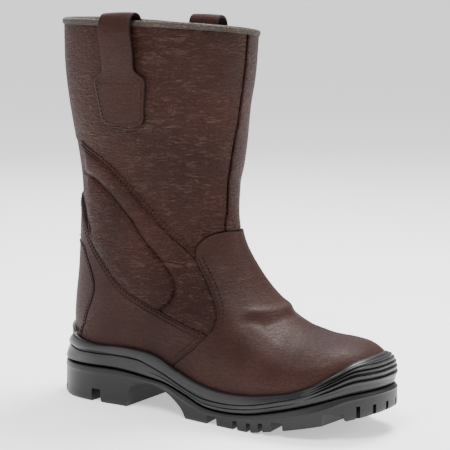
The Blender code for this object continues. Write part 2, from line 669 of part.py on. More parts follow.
def sole_heights(ring, base, share):
    """Sets a midsole ring at its height between the groove and the lip on the last."""
    lip = line_height(LIP, base[:, 0])
    groove = line_height(GROOVE, ring[:, 0])
    ring[:, 2] = groove + (lip - groove) * share + GAP / 2
    return ring


# The hollow under the waist, from the heel's breast to the first cleat, as (x, z).
ARCH = ((85.5, 0), (88.5, 11), (91.5, 19.5), (101, 22.3), (114, 22.5), (127, 19), (138, 12.5), (145, 6), (148, 0))


def block(name, middle, size, turn=0.0, draft=1.0):
    """A tapered bar, its top narrower than its foot, turned about the vertical."""
    points = []
    for level, share in ((-0.5, draft), (0.5, 1.0)):
        for along, across in ((-0.5, -0.5), (0.5, -0.5), (0.5, 0.5), (-0.5, 0.5)):
            x = along * size[0] * share
            y = across * size[1]
            points.append((middle[0] + x * math.cos(turn) - y * math.sin(turn),
                           middle[1] + x * math.sin(turn) + y * math.cos(turn),
                           middle[2] + level * size[2]))
    faces = ((0, 1, 2, 3), (4, 5, 6, 7), (0, 1, 5, 4), (1, 2, 6, 5), (2, 3, 7, 6), (3, 0, 4, 7))
    return as_guide(add_body(name, points, faces))


# Channels between the lugs of each side, in millimetres, as (place along the boot, start and end
# across it from the middle, width at the ground, depth, slant).
CHANNELS = (
    (55.0, 12, 70, 8.5, 11.0, 0.00), (14.0, 14, 46, 5.0, 8.0, 0.45), (175.0, 12, 80, 9.0, 6.0, -0.12),
    (198.5, 20, 80, 4.0, 6.0, -0.12), (211.0, 20, 80, 3.5, 6.0, -0.12), (222.5, 20, 80, 3.5, 6.0, -0.12),
    (236.0, 12, 80, 9.0, 6.5, -0.12), (277.0, 18, 80, 11.0, 7.5, 0.20),
)
# Slots between the lugs that turn up round the toe, in millimetres, as (place along the boot,
# place across it, turn from the boot's line).
TOE_SLOTS = ((294.0, -27.5, -0.55), (299.5, -14.0, -0.25), (302.0, 0.0, 0.0), (300.0, 14.0, 0.25))
TOE_SLOT_LENGTH, TOE_SLOT_WIDTH, TOE_SLOT_TOP = 16.0, 3.2, 27.0


def make_outsole():
    """The lugged outsole: heel block, arch, forefoot cleats and toe spring."""
    floor = ring_line(0.0)
    rings = []
    for row in OUTSOLE[::-1]:
        ring = side_ring(OUTSOLE, row[0], floor)
        groove = line_height(GROOVE, ring[:, 0]) - GAP / 2
        ground = np.maximum(line_height(GROUND, ring[:, 0]), 0.0)
        ring[:, 2] = groove + (ground - groove) * row[0]
        rings.append(ring)
    rings.append(bed_ring() - np.array([0.0, 0.0, GAP / 2]))
    outsole = solid_stack("outsole", np.array(rings), SOLE_RUBBER)
    hollow = curve(ARCH)
    below = np.array([[0.0, -10.0 * MM]])
    hollow = np.vstack([hollow[:1] + below, hollow, hollow[-1:] + below])
    combine(outsole, prism("arch", hollow, -SIDEWAYS, SIDEWAYS), "DIFFERENCE")
    for number, (along, start, end, width, depth, slant) in enumerate(CHANNELS):
        base = float(line_height(GROUND, np.array([along * MM]))[0])
        for side in (-1, 1):
            middle = (along * MM, side * (start + end) / 2 * MM, base)
            size = (width * MM, (end - start) * MM, 2 * depth * MM)
            cutter = block("channel_%d_%d" % (number, side + 1), middle, size, side * slant, 1.35)
            combine(outsole, cutter, "DIFFERENCE")
    for number, (along, across, turn) in enumerate(TOE_SLOTS):
        middle = (along * MM, across * MM, TOE_SLOT_TOP * MM / 2)
        size = (TOE_SLOT_LENGTH * MM, TOE_SLOT_WIDTH * MM, TOE_SLOT_TOP * MM)
        combine(outsole, block("toe_slot_%d" % number, middle, size, turn), "DIFFERENCE")
    return outsole


def make_insole():
    """The insole board, loose inside the upper on the midsole's seat."""
    first, second = offset_rings(-WALL - 3 * GAP)[:3:2]
    first[:, 2] = LAST[0, :, 2]
    low = first + np.array([0.0, 0.0, GAP / 2])
    share = INSOLE_THICK / (second[:, 2] - first[:, 2])
    high = low + share[:, None] * (second - first)
    return solid_stack("insole", np.array([low, high]), BOARD)


# The middle of the boot's bounding box, which stands on the origin.
CENTRE_ALONG = 0.1534
CENTRE_ACROSS = -0.0003


def main():
    """Builds the boot and stands it centred on the origin."""
    for item in list(bpy.data.objects):
        bpy.data.objects.remove(item)
    make_outsole()
    make_midsole()
    make_insole()
    make_upper()
    make_ankle_panels()
    make_quarters()
    make_vamp()
    make_counter()
    make_binding()
    make_strap("pull_strap_outer", -1, 0.0930, 0.0035, 0.0042)
    make_strap("pull_strap_inner", 1, 0.0994, 0.0, 0.0)
    centre = bpy.data.objects.new("centre", None)
    bpy.context.scene.collection.objects.link(centre)
    centre.location = (-CENTRE_ALONG, -CENTRE_ACROSS, 0.0)
    for item in bpy.data.objects:
        if item != centre:
            item.parent = centre


main()
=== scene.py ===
"""A rigger boot for the right foot, dressed: leather, stitching, moulded sole, light and camera."""
import math
import bmesh
import bpy
import numpy as np
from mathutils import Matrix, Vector


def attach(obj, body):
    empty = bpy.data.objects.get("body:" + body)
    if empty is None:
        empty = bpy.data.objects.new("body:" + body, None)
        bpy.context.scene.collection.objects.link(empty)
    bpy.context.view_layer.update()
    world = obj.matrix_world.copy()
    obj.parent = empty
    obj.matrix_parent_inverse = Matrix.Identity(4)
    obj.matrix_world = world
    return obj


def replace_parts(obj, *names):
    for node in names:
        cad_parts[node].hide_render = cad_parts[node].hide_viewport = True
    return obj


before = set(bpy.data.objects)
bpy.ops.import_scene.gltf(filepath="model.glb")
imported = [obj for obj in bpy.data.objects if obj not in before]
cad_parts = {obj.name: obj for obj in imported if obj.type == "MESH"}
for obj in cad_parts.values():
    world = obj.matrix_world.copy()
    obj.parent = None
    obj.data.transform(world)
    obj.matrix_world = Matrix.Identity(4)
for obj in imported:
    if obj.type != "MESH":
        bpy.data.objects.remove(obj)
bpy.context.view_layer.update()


# The last: the form that the boot is made over. Its side outline and a table of sections that
# fan round the bend of the instep give the shape of the leather and the outline of the sole.
# Everything is worked out in metres from the back of the heel, and moved home when it is made.
MM = 0.001
HOME = np.array([-0.1534, 0.0003, 0.0])
LENGTH, BALL_WIDTH = 0.305, 0.100
HEEL_HEIGHT, INSTEP_HEIGHT, COLLAR_HEIGHT = 0.042, 0.143, 0.305
SECTION_COLUMNS = ("front", "level", "outer", "inner", "crest", "widest", "floor", "low", "top")
SECTIONS = (
    (0.972, 0.000, 0.485, 0.445, 0.080, 0.35, 0.97, 2.40, 2.70),
    (0.967, 0.100, 0.490, 0.450, 0.080, 0.35, 0.97, 2.40, 2.70),
    (0.949, 0.190, 0.495, 0.455, 0.075, 0.35, 0.97, 2.40, 2.70),
    (0.916, 0.242, 0.500, 0.460, 0.070, 0.35, 0.97, 2.40, 2.60),
    (0.868, 0.265, 0.505, 0.465, 0.060, 0.35, 0.97, 2.40, 2.50),
    (0.816, 0.275, 0.505, 0.465, 0.050, 0.35, 0.96, 2.40, 2.40),
    (0.763, 0.311, 0.505, 0.465, 0.042, 0.34, 0.96, 2.40, 2.30),
    (0.707, 0.394, 0.505, 0.455, 0.035, 0.33, 0.96, 2.30, 2.15),
    (0.660, 0.513, 0.495, 0.435, 0.028, 0.32, 0.95, 2.30, 2.00),
    (0.619, 0.662, 0.475, 0.410, 0.020, 0.31, 0.94, 2.30, 1.90),
    (0.582, 0.822, 0.443, 0.383, 0.012, 0.33, 0.91, 2.30, 1.85),
    (0.556, 0.990, 0.407, 0.368, 0.005, 0.37, 0.90, 2.30, 1.85),
    (0.546, 1.099, 0.405, 0.385, 0.000, 0.45, 0.94, 2.20, 1.90),
    (0.544, 1.216, 0.430, 0.420, 0.000, 0.49, 0.95, 2.10, 2.00),
    (0.551, 1.352, 0.465, 0.455, 0.000, 0.50, 0.95, 2.10, 2.10),
    (0.561, 1.500, 0.505, 0.495, 0.000, 0.50, 0.95, 2.10, 2.10),
    (0.5705, 1.685, 0.555, 0.545, 0.000, 0.50, 0.95, 2.10, 2.10),
    (0.579, 1.864, 0.595, 0.590, 0.000, 0.50, 0.95, 2.10, 2.10),
    (0.585, 2.000, 0.615, 0.610, 0.000, 0.50, 0.95, 2.10, 2.10),
)
BACK = ((0.0400, 0.000), (0.0360, 0.109), (0.0355, 0.198), (0.0410, 0.386), (0.0500, 0.584),
        (0.0555, 0.842), (0.0580, 1.000), (0.0600, 1.105), (0.0590, 1.240), (0.0460, 1.450),
        (0.0300, 1.654), (0.0230, 1.858), (0.0213, 2.046))
FLOOR = ((0.040, 1.000), (0.197, 0.990), (0.328, 0.927), (0.426, 0.801), (0.525, 0.597),
         (0.607, 0.476), (0.672, 0.441), (0.754, 0.476), (0.820, 0.560), (0.885, 0.691),
         (0.934, 0.832), (0.972, 1.000))
FAN_REACH = 0.100
PIVOT_PLACE, PIVOT_LEVEL = 0.656, 1.253
# Where the toe and the heel begin to round off in plan, as shares of the length, and how squarely.
TOE_START, TOE_POWER = 0.705, 2.3
HEEL_END, HEEL_POWER = 0.150, 2.1


def height(level):
    """The height above the ground of a level of the last."""
    tops = (HEEL_HEIGHT, INSTEP_HEIGHT, COLLAR_HEIGHT, 2 * COLLAR_HEIGHT - INSTEP_HEIGHT)
    return np.interp(level, (0, 1, 2, 3), tops)


def smooth(places, values, at):
    """A smooth curve through a table, read at the given places."""
    places, values, at = (np.asarray(v, float) for v in (places, values, at))
    steps = np.diff(places)
    rises = np.diff(values) / steps
    slopes = np.empty(len(places))
    slopes[1:-1] = (rises[:-1] * steps[1:] + rises[1:] * steps[:-1]) / (steps[1:] + steps[:-1])
    slopes[0], slopes[-1] = rises[0], rises[-1]
    i = np.clip(np.searchsorted(places, at) - 1, 0, len(steps) - 1)
    t = np.clip((at - places[i]) / steps[i], 0.0, 1.0)
    start = (2 * t ** 3 - 3 * t ** 2 + 1) * values[i] + (t ** 3 - 2 * t ** 2 + t) * slopes[i] * steps[i]
    end = (3 * t ** 2 - 2 * t ** 3) * values[i + 1] + (t ** 3 - t ** 2) * slopes[i + 1] * steps[i]
    return start + end


def lengths(points):
    """The running length along a line of points."""
    return np.concatenate(([0.0], np.cumsum(np.linalg.norm(np.diff(points, axis=0), axis=1))))


def fine_line(points, count=300):
    """A smooth line through a few points, as many close points."""
    points = np.asarray(points, float)
    run = lengths(points)
    at = np.linspace(0.0, run[-1], count)
    return np.stack([smooth(run, points[:, k], at) for k in range(points.shape[1])], axis=1)


def along_line(line, share):
    """The point at a share of a line's length."""
    run = lengths(line)
    return np.array([np.interp(share * run[-1], run, line[:, k]) for k in range(line.shape[1])])


def rounding(share, power):
    """A quarter of a round: 1 at share 0, falling to 0 at share 1."""
    return (1.0 - np.clip(share, 0.0, 1.0) ** power) ** (1.0 / power)


def ease(share):
    """A soft step from 0 to 1."""
    t = np.clip(share, 0.0, 1.0)
    return t * t * (3.0 - 2.0 * t)


ROWS = {name: np.array([row[k] for row in SECTIONS]) for k, name in enumerate(SECTION_COLUMNS)}
SECTION_POINTS = np.stack([ROWS["front"] * LENGTH, height(ROWS["level"])], axis=1)
BACK_LINE = fine_line([(a * LENGTH, height(b)) for a, b in BACK])
FLOOR_LINE = fine_line([(a * LENGTH, b * HEEL_HEIGHT) for a, b in FLOOR])
FRONT_LINE = fine_line(SECTION_POINTS)
LOW_LINE = np.vstack([FLOOR_LINE[::-1], BACK_LINE[1:]])
PIVOT = np.array([PIVOT_PLACE * LENGTH, height(PIVOT_LEVEL)])


def fan(x, z):
    """Where a side-view point lies in the fan: which section, and how far from the pivot line."""
    fore = x >= PIVOT[0]
    shaft = ~fore & (z >= PIVOT[1])
    section = np.where(fore, (PIVOT[0] - x) / FAN_REACH, np.arctan2(PIVOT[0] - x, PIVOT[1] - z))
    section = np.where(shaft, math.pi / 2 + (z - PIVOT[1]) / FAN_REACH, section)
    reach = np.where(fore, PIVOT[1] - z, np.hypot(x - PIVOT[0], z - PIVOT[1]))
    return section, np.where(shaft, PIVOT[0] - x, reach)


SECTION_PLACES = fan(SECTION_POINTS[:, 0], SECTION_POINTS[:, 1])[0]
FRONT_FAN = fan(FRONT_LINE[:, 0], FRONT_LINE[:, 1])
LOW_FAN = fan(LOW_LINE[:, 0], LOW_LINE[:, 1])
HEEL_CORNER = LOW_FAN[0][len(FLOOR_LINE) - 1]


def section_value(name, section):
    """A column of the section table, read smoothly anywhere in the fan."""
    return smooth(SECTION_PLACES, ROWS[name], np.clip(section, SECTION_PLACES[0], SECTION_PLACES[-1]))


def crest(x, z):
    """The sideways place of the middle line of the last."""
    return section_value("crest", fan(x, z)[0]) * BALL_WIDTH


def half_width(x, z, side):
    """The last's half-width at a side-view point, on the outer (-1) or inner (+1) side."""
    section, reach = fan(x, z)
    near = np.interp(section, *FRONT_FAN)
    far = np.interp(section, *LOW_FAN)
    rise = np.clip((far - reach) / np.maximum(far - near, 1e-6), 0.0, 1.0)
    width = section_value("outer" if side < 0 else "inner", section) - side * section_value("crest", section)
    start = TOE_START * LENGTH
    width = width * BALL_WIDTH * rounding((x - start) / (SECTION_POINTS[0, 0] - start), TOE_POWER)
    floor_x = np.interp(section, LOW_FAN[0], LOW_LINE[:, 0])
    heel = rounding(1.0 - (floor_x - BACK_LINE[0, 0]) / (HEEL_END * LENGTH), HEEL_POWER)
    floor = section_value("floor", section) * np.where(section > HEEL_CORNER, 0.0, heel)
    widest = section_value("widest", section)
    low = floor + (1.0 - floor) * rounding(1.0 - rise / widest, section_value("low", section))
    top = rounding((rise - widest) / (1.0 - widest), section_value("top", section))
    return width * np.where(rise < widest, low, top)


def ring_line(share):
    """The side-view line of one ring, from the front to the back: 0 is the floor, 1 the collar."""
    front = along_line(FRONT_LINE, share)
    back = along_line(BACK_LINE, 0.6 * share + 0.4 * share ** 2)
    e = 0.5 - 0.5 * np.cos(np.linspace(0.0, math.pi, 700))
    floor_x = FLOOR_LINE[-1, 0] + (FLOOR_LINE[0, 0] - FLOOR_LINE[-1, 0]) * e
    chord = FLOOR_LINE[-1, 1] + (FLOOR_LINE[0, 1] - FLOOR_LINE[-1, 1]) * e
    dip = np.interp(floor_x, FLOOR_LINE[:, 0], FLOOR_LINE[:, 1]) - chord
    x = front[0] + (back[0] - front[0]) * e
    z = front[1] + (back[1] - front[1]) * e + dip * max(0.0, 1.0 - share / 0.35) ** 1.5
    return np.stack([x, z], axis=1)


def closed_ring(line, columns):
    """The last's outline along a side-view line: front middle, outer side, back, inner side."""
    x, z = line[:, 0], line[:, 1]
    middle = crest(x, z)
    sides = []
    for side in (-1, 1):
        y = middle + side * half_width(x, z, side)
        y[0], y[-1] = middle[0], middle[-1]
        points = np.stack([x, y, z], axis=1)
        run = lengths(points)
        at = np.linspace(0.0, run[-1], columns // 2 + 1)
        sides.append(np.stack([np.interp(at, run, points[:, k]) for k in range(3)], axis=1))
    return np.vstack([sides[0], sides[1][-2:0:-1]])


def outward(rings):
    """The outward direction at every point of a stack of rings."""
    round_step = np.roll(rings, -1, axis=1) - np.roll(rings, 1, axis=1)
    normal = np.cross(np.gradient(rings, axis=0), round_step)
    return normal / np.maximum(np.linalg.norm(normal, axis=2, keepdims=True), 1e-9)


def grid_faces(rings, columns):
    """Triangles between the closed rings of a stack, facing outwards."""
    k, j = np.meshgrid(np.arange(rings - 1), np.arange(columns), indexing="ij")
    a = (k * columns + j).ravel()
    b = (k * columns + (j + 1) % columns).ravel()
    c, d = a + columns, b + columns
    return np.vstack([np.stack([a, c, d], axis=1), np.stack([a, d, b], axis=1)])


# The collar isn't level: it lifts on the outer side and dips on the inner one, most at the front.
COLLAR_MIDDLE, COLLAR_REACH, COLLAR_HALF, COLLAR_START = 0.095, 0.078, 0.062, 0.235
RIM_LEVEL, RIM_FORWARD, RIM_OUTWARD, RIM_TWIST = 0.5, -0.3, 2.8, 2.5


def tilt_collar(points):
    """Points with the lift and dip of the collar."""
    points = np.array(points, float)
    along = np.clip((points[:, 0] - COLLAR_MIDDLE) / COLLAR_REACH, -1.1, 1.1)
    out = np.clip(-points[:, 1] / COLLAR_HALF, -1.1, 1.1)
    rise = RIM_LEVEL + RIM_FORWARD * along + RIM_OUTWARD * out + RIM_TWIST * along * out
    points[:, 2] += rise * MM * ease((points[:, 2] - COLLAR_START) / (COLLAR_HEIGHT - COLLAR_START))
    return points


def add_object(name, data):
    """An object with its data, in the scene."""
    made = bpy.data.objects.new(name, data)
    bpy.context.scene.collection.objects.link(made)
    return made


def add_mesh(name, points, faces, material, attributes=None, crisp=50.0):
    """A piece from points in the last's own place, moved home. Edges over crisp degrees are sharp."""
    mesh = bpy.data.meshes.new(name)
    mesh.from_pydata((tilt_collar(points) + HOME).tolist(), [], np.asarray(faces).tolist())
    for label, values in (attributes or {}).items():
        mesh.attributes.new(label, "FLOAT", "POINT").data.foreach_set("value", np.asarray(values, float))
    work = bmesh.new()
    work.from_mesh(mesh)
    bmesh.ops.remove_doubles(work, verts=work.verts, dist=2e-6)
    bmesh.ops.dissolve_degenerate(work, edges=work.edges, dist=1e-7)
    work.to_mesh(mesh)
    work.free()
    mesh.shade_smooth()
    mesh.set_sharp_from_angle(angle=math.radians(crisp))
    mesh.materials.append(material)
    return add_object(name, mesh)


# The outsole: one hard black-grey rubber moulding under the whole boot, with a heel block, an
# arch, deep side lugs and a toe that turns up. The midsole is cast on top of it.
class Wire:
    """One shader socket. Sums and products of wires add the nodes that work them out."""

    def __init__(self, tree, socket):
        self.tree, self.socket = tree, socket

    def node(self, kind, settings=None, inputs=None, output=0):
        """Adds any other node, set first, then fed with values or wires, and gives one output."""
        made = self.tree.nodes.new(kind)
        for name, value in (settings or {}).items():
            setattr(made, name, value)
        for name, value in (inputs or {}).items():
            if isinstance(value, Wire):
                self.tree.links.new(value.socket, made.inputs[name])
            else:
                made.inputs[name].default_value = value
        return Wire(self.tree, made.outputs[output])

    def maths(self, operation, *values, clamp=False):
        """A Math node on this wire and others."""
        feeds = dict(enumerate((self, *values)))
        return self.node("ShaderNodeMath", {"operation": operation, "use_clamp": clamp}, feeds)

    def __add__(self, other):
        return self.maths("ADD", other)

    __radd__ = __add__

    def __sub__(self, other):
        return self.maths("SUBTRACT", other)

    def __rsub__(self, other):
        return (self * -1.0).maths("ADD", other)

    def __mul__(self, other):
        return self.maths("MULTIPLY", other)

    __rmul__ = __mul__

    def between(self, low, high):
        """A soft step of this wire from 0 at low to 1 at high."""
        return self.node("ShaderNodeMapRange", {"interpolation_type": "SMOOTHSTEP"},
                         {"Value": self, "From Min": low, "From Max": high})

    def blend(self, first, second):
        """A colour between two, by this wire."""
        return self.node("ShaderNodeMix", {"data_type": "RGBA"}, {0: self, 6: first, 7: second}, 2)


def colour(red, green, blue):
    """A display colour, 0 to 255, as the linear colour that shaders use."""
    return tuple((v / 255.0) ** 2.2 for v in (red, green, blue)) + (1.0,)


def new_finish(name, **sockets):
    """A material with its uniform numbers set, and the wires that start its pattern."""
    material = bpy.data.materials.new(name)
    material.use_nodes = True
    tree = material.node_tree
    shader = tree.nodes["Principled BSDF"]
    for label, value in sockets.items():
        shader.inputs[label.replace("_", " ")].default_value = value
    place = Wire(tree, tree.nodes.new("ShaderNodeTexCoord").outputs["Object"])
    return material, tree, shader, place


def stretched(place, x, y, z):
    """Coordinates scaled along each axis."""
    return place.node("ShaderNodeMapping", {}, {"Vector": place, "Scale": (x, y, z)})


def noise(place, scale, detail=2.0, rough=0.5, warp=0.0):
    """A soft noise, 0 to 1."""
    feeds = {"Vector": place, "Scale": scale, "Detail": detail, "Roughness": rough, "Distortion": warp}
    return place.node("ShaderNodeTexNoise", {}, feeds)


def feed(tree, shader, **wires):
    """Links wires to the shader's own sockets."""
    for label, wire in wires.items():
        tree.links.new(wire.socket, shader.inputs[label.replace("_", " ")])


def bump(place, height, distance, strength=1.0):
    """A bump of a height, in metres at its full distance."""
    return place.node("ShaderNodeBump", {}, {"Strength": strength, "Distance": distance, "Height": height})


def rubber(name, dark, light, roughness):
    """Moulded rubber: near-even charcoal, slightly cloudy, with a fine matt texture."""
    material, tree, shader, place = new_finish(name, Specular_IOR_Level=0.35)
    cloud = noise(place, 22.0, 3.0)
    fine = noise(place, 900.0, 2.0)
    patch = cloud.between(0.3, 0.75)
    feed(tree, shader, Base_Color=patch.blend(colour(*dark), colour(*light)))
    feed(tree, shader, Roughness=roughness + cloud * 0.12 - 0.06)
    feed(tree, shader, Normal=bump(place, fine, 0.00025, 0.25))
    return material


OUTSOLE_RUBBER = rubber("outsole_rubber", (13, 13, 14), (22, 22, 22), 0.42)
# Lines of the sole's side: place along the boot and height, in millimetres.
LIP = ((9, 60), (17, 58), (25, 54.5), (38, 51), (54, 49), (77, 50), (93, 50), (114, 48), (135, 40),
       (161, 31.5), (182, 28.5), (208, 29), (231, 32.5), (247, 36), (255, 39), (263, 43), (271, 48.5),
       (277, 53), (281.5, 57), (285, 59.5), (290, 61.5))
GROOVE = ((-10, 29), (40, 30), (83, 30), (103, 28), (127, 25.5), (148, 19.5), (166, 13.5), (185, 12),
          (208, 14), (231, 19), (250, 24), (270, 30), (290, 36), (312, 38))
GROUND = ((-10, 0), (150, 0), (206, 0), (214, 0.4), (225, 2.4), (244, 6.0), (266, 10.8), (290, 16.5),
          (312, 22))
LEDGE = ((-10, 24), (60, 25), (84, 25.5), (103, 25), (127, 22.5), (146, 15), (166, 9.5), (185, 9),
         (208, 10.5), (231, 12.5), (253, 18), (270, 24), (298, 34), (312, 35))
# How far the side stands off the last, in millimetres: share of the way down from the groove,
# at the toe, along the sides and at the back of the heel.
OUTSOLE = ((0.00, 4.4, 3.6, 6.4), (0.03, 5.6, 5.2, 8.6), (0.07, 6.2, 6.2, 9.3), (0.12, 6.5, 6.4, 9.6),
           (0.45, 7.8, 6.8, 10.2), (0.50, 8.2, 6.7, 10.2), (0.53, 7.9, 6.2, 9.8), (0.60, 8.0, 6.1, 9.9),
           (0.93, 8.1, 6.0, 10.4), (0.98, 7.6, 5.5, 9.9), (1.00, 6.6, 4.8, 9.2))
SOLE_COLUMNS = 320
SOLE_MIDDLE = np.array([0.5 * LENGTH, 0.0])


def line_height(table, x):
    """The height of a sole line at places along the boot."""
    table = np.array(table, float) * MM
    return smooth(table[:, 0], table[:, 1], x)


def side_ring(table, share, line, extra=None):
    """One ring of the sole's side: the last's outline at a side-view line, moved outwards."""
    ring = closed_ring(line, SOLE_COLUMNS)
    step = np.roll(ring, -1, axis=0) - np.roll(ring, 1, axis=0)
    side = np.stack([-step[:, 1], step[:, 0]], axis=1)
    side /= np.linalg.norm(side, axis=1, keepdims=True)
    toe = ease((ring[:, 0] - 0.80 * LENGTH) / (0.16 * LENGTH))
    heel = ease((0.17 * LENGTH - ring[:, 0]) / (0.13 * LENGTH))
    level, *stands = np.array(table, float).T
    front, middle, back = (np.interp(share, level, stand) for stand in stands)
    away = middle + (front - middle) * toe + (back - middle) * heel
    if extra is not None:
        away = away + extra(ring, share, toe, heel)
    ring[:, :2] += side * away[:, None] * MM
    return ring


def drawn_in(ring, share, rise=0.0):
    """A copy of a ring, drawn in towards the middle of the sole and raised."""
    ring = ring.copy()
    ring[:, :2] += share * (SOLE_MIDDLE - ring[:, :2])
    ring[:, 2] += rise
    return ring


def closed_stack(rings, columns):
    """Points and faces of a stack of rings, closed across at both ends."""
    rings = np.array(rings)
    half = columns // 2
    rungs = [(0, 1, columns - 1)]
    for j in range(1, half - 1):
        rungs += [(j, j + 1, columns - j - 1), (j, columns - j - 1, columns - j)]
    rungs = np.array(rungs + [(half - 1, half, half + 1)])
    top = rungs[:, ::-1] + (len(rings) - 1) * columns
    return rings.reshape(-1, 3), np.vstack([grid_faces(len(rings), columns), rungs, top])


def cutter_block(middle, size, turn, draft):
    """A tapered bar to cut a channel with, wider at the ground, turned about the vertical."""
    points = []
    for level, share in ((-0.5, draft), (0.5, 1.0)):
        for along, across in ((-0.5, -0.5), (0.5, -0.5), (0.5, 0.5), (-0.5, 0.5)):
            x, y = along * size[0] * share, across * size[1]
            points.append((middle[0] + x * math.cos(turn) - y * math.sin(turn),
                           middle[1] + x * math.sin(turn) + y * math.cos(turn), middle[2] + level * size[2]))
    faces = ((3, 2, 1, 0), (4, 5, 6, 7), (0, 1, 5, 4), (1, 2, 6, 5), (2, 3, 7, 6), (3, 0, 4, 7))
    return points, faces


# Channels between the lugs, the same on both sides, in millimetres: place along the boot, where
# they start and end across it from the middle, width at the ground, depth and slant.
CHANNELS = (
    (55.0, 12, 70, 8.5, 11.0, 0.00), (14.0, 14, 46, 5.0, 8.0, 0.45), (175.0, 12, 80, 9.0, 7.5, -0.12),
    (198.5, 20, 80, 4.0, 7.5, -0.12), (211.0, 12, 80, 3.5, 7.5, -0.12), (222.5, 20, 80, 3.5, 7.5, -0.12),
    (236.0, 12, 80, 9.0, 7.5, -0.12), (277.0, 18, 80, 11.0, 8.0, 0.20), (34.0, 6, 22, 5.0, 6.0, 0.5),
    (74.0, 6, 22, 5.0, 6.0, -0.5), (163.0, 3, 24, 4.5, 5.0, 0.5), (187.0, 3, 26, 4.5, 5.0, 0.5),
    (247.0, 3, 26, 4.5, 5.0, 0.5),
)
# Slots between the lugs that turn up round the toe: place along and across the boot, and turn.
TOE_SLOTS = ((294.0, -27.5, -0.55), (299.5, -14.0, -0.25), (302.0, 0.0, 0.0), (300.0, 14.0, 0.25))
TOE_SLOT_LENGTH, TOE_SLOT_WIDTH, TOE_SLOT_TOP = 16.0, 3.2, 27.0
# The hollow under the waist, from the heel's breast to the first lug.
ARCH = ((85.5, 0), (88.5, 11), (91.5, 19.5), (101, 22.3), (114, 22.5), (127, 19), (138, 12.5),
        (145, 6), (148, 0))
ARCH_HALF = 0.09
CHANNEL_DRAFT = 1.35
OUTSOLE_CRISP = 32.0

floor_side = ring_line(0.0)
stack = []
shares = np.concatenate([[0.0, 0.015, 0.03, 0.05, 0.07, 0.1], np.linspace(0.14, 0.44, 6),
                         [0.47, 0.50, 0.515, 0.53, 0.56], np.linspace(0.62, 0.92, 6),
                         [0.955, 0.98, 0.992, 1.0]])
for share in shares[::-1]:
    ring = side_ring(OUTSOLE, share, floor_side)
    groove = line_height(GROOVE, ring[:, 0]) - 0.2 * MM
    ledge = line_height(LEDGE, ring[:, 0])
    ground = np.maximum(line_height(GROUND, ring[:, 0]), 0.0)
    if share < 0.5:
        ring[:, 2] = groove + (ledge - groove) * share / 0.5
    else:
        ring[:, 2] = ledge + (ground - ledge) * (share - 0.5) / 0.5
    stack.append(ring)
stack.append(drawn_in(stack[-1], 0.05))
outsole = add_mesh("outsole_moulding", *closed_stack(stack, SOLE_COLUMNS), OUTSOLE_RUBBER,
                   crisp=OUTSOLE_CRISP)
bars = []
for along, start, end, width, depth, slant in CHANNELS:
    base = float(line_height(GROUND, np.array([along * MM]))[0])
    size = (width * MM, (end - start) * MM, 2 * depth * MM)
    for side in (-1, 1):
        middle = (along * MM, side * (start + end) / 2 * MM, base)
        bars.append((middle, size, side * slant, CHANNEL_DRAFT))
for along, across, turn in TOE_SLOTS:
    bars.append(((along * MM, across * MM, TOE_SLOT_TOP * MM / 2),
                 (TOE_SLOT_LENGTH * MM, TOE_SLOT_WIDTH * MM, TOE_SLOT_TOP * MM), turn, 1.0))
arch = fine_line(np.array(ARCH) * MM, 40)
arch = np.vstack([[arch[0, 0], -0.01], arch, [arch[-1, 0], -0.01]])


def settle(piece):
    """Puts the mesh that a piece's modifiers make in the place of its own."""
    done = bpy.data.meshes.new_from_object(piece.evaluated_get(bpy.context.evaluated_depsgraph_get()))
    piece.modifiers.clear()
    old = piece.data
    piece.data = done
    bpy.data.meshes.remove(old)


def cut(body, points, faces):
    """Cuts a closed form out of a body."""
    mesh = bpy.data.meshes.new("cutter")
    mesh.from_pydata((np.asarray(points) + HOME).tolist(), [], [tuple(f) for f in faces])
    tool = add_object("cutter", mesh)
    step = body.modifiers.new("cut", "BOOLEAN")
    step.operation, step.object, step.solver = "DIFFERENCE", tool, "EXACT"
    settle(body)
    bpy.data.objects.remove(tool)


count = len(arch)
arch_points = [(x, y, z) for y in (-ARCH_HALF, ARCH_HALF) for x, z in arch]
arch_faces = [tuple(range(count))[::-1], tuple(range(count, 2 * count))]
arch_faces += [(i, (i + 1) % count, count + (i + 1) % count, count + i) for i in range(count)]
cut(outsole, arch_points, arch_faces)
for middle, size, turn, draft in bars:
    cut(outsole, *cutter_block(middle, size, turn, draft))
outsole.data.shade_smooth()
outsole.data.set_sharp_from_angle(angle=math.radians(OUTSOLE_CRISP))
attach(outsole, "root")
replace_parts(outsole, "outsole")


# The midsole: a softer foamed layer cast round the lower edge of the leather. Its side carries
# a rounded lip, a raised band under it, and at the toe a bumper of ribs moulded in steps.
MIDSOLE_RUBBER = rubber("midsole_rubber", (20, 20, 21), (31, 31, 31), 0.36)
BAND = ((-10, 44), (9, 45), (25, 43), (38, 41.5), (60, 43), (84, 44.5), (103, 41), (127, 33.5), (148, 25.5),
        (166, 20.5), (185, 19.5), (208, 21.5), (226, 25.5), (244, 31), (262, 39), (276, 48), (312, 52))
MIDSOLE = ((0.00, 4.2, 3.2, 6.0), (0.03, 5.4, 4.6, 7.4), (0.08, 6.2, 5.6, 8.6), (0.20, 6.7, 6.5, 7.4),
           (0.34, 6.5, 6.9, 5.8), (0.46, 6.1, 6.7, 4.9), (0.50, 6.0, 6.2, 4.6), (0.53, 5.9, 6.6, 5.0),
           (0.75, 5.4, 5.9, 4.7), (0.93, 4.9, 5.2, 4.4), (0.97, 4.6, 4.9, 4.1), (0.99, 4.0, 4.3, 3.6),
           (1.00, 3.0, 3.2, 2.8))
RIB_COUNT, RIB_START, RIB_SPAN = 5, 0.18, 0.74


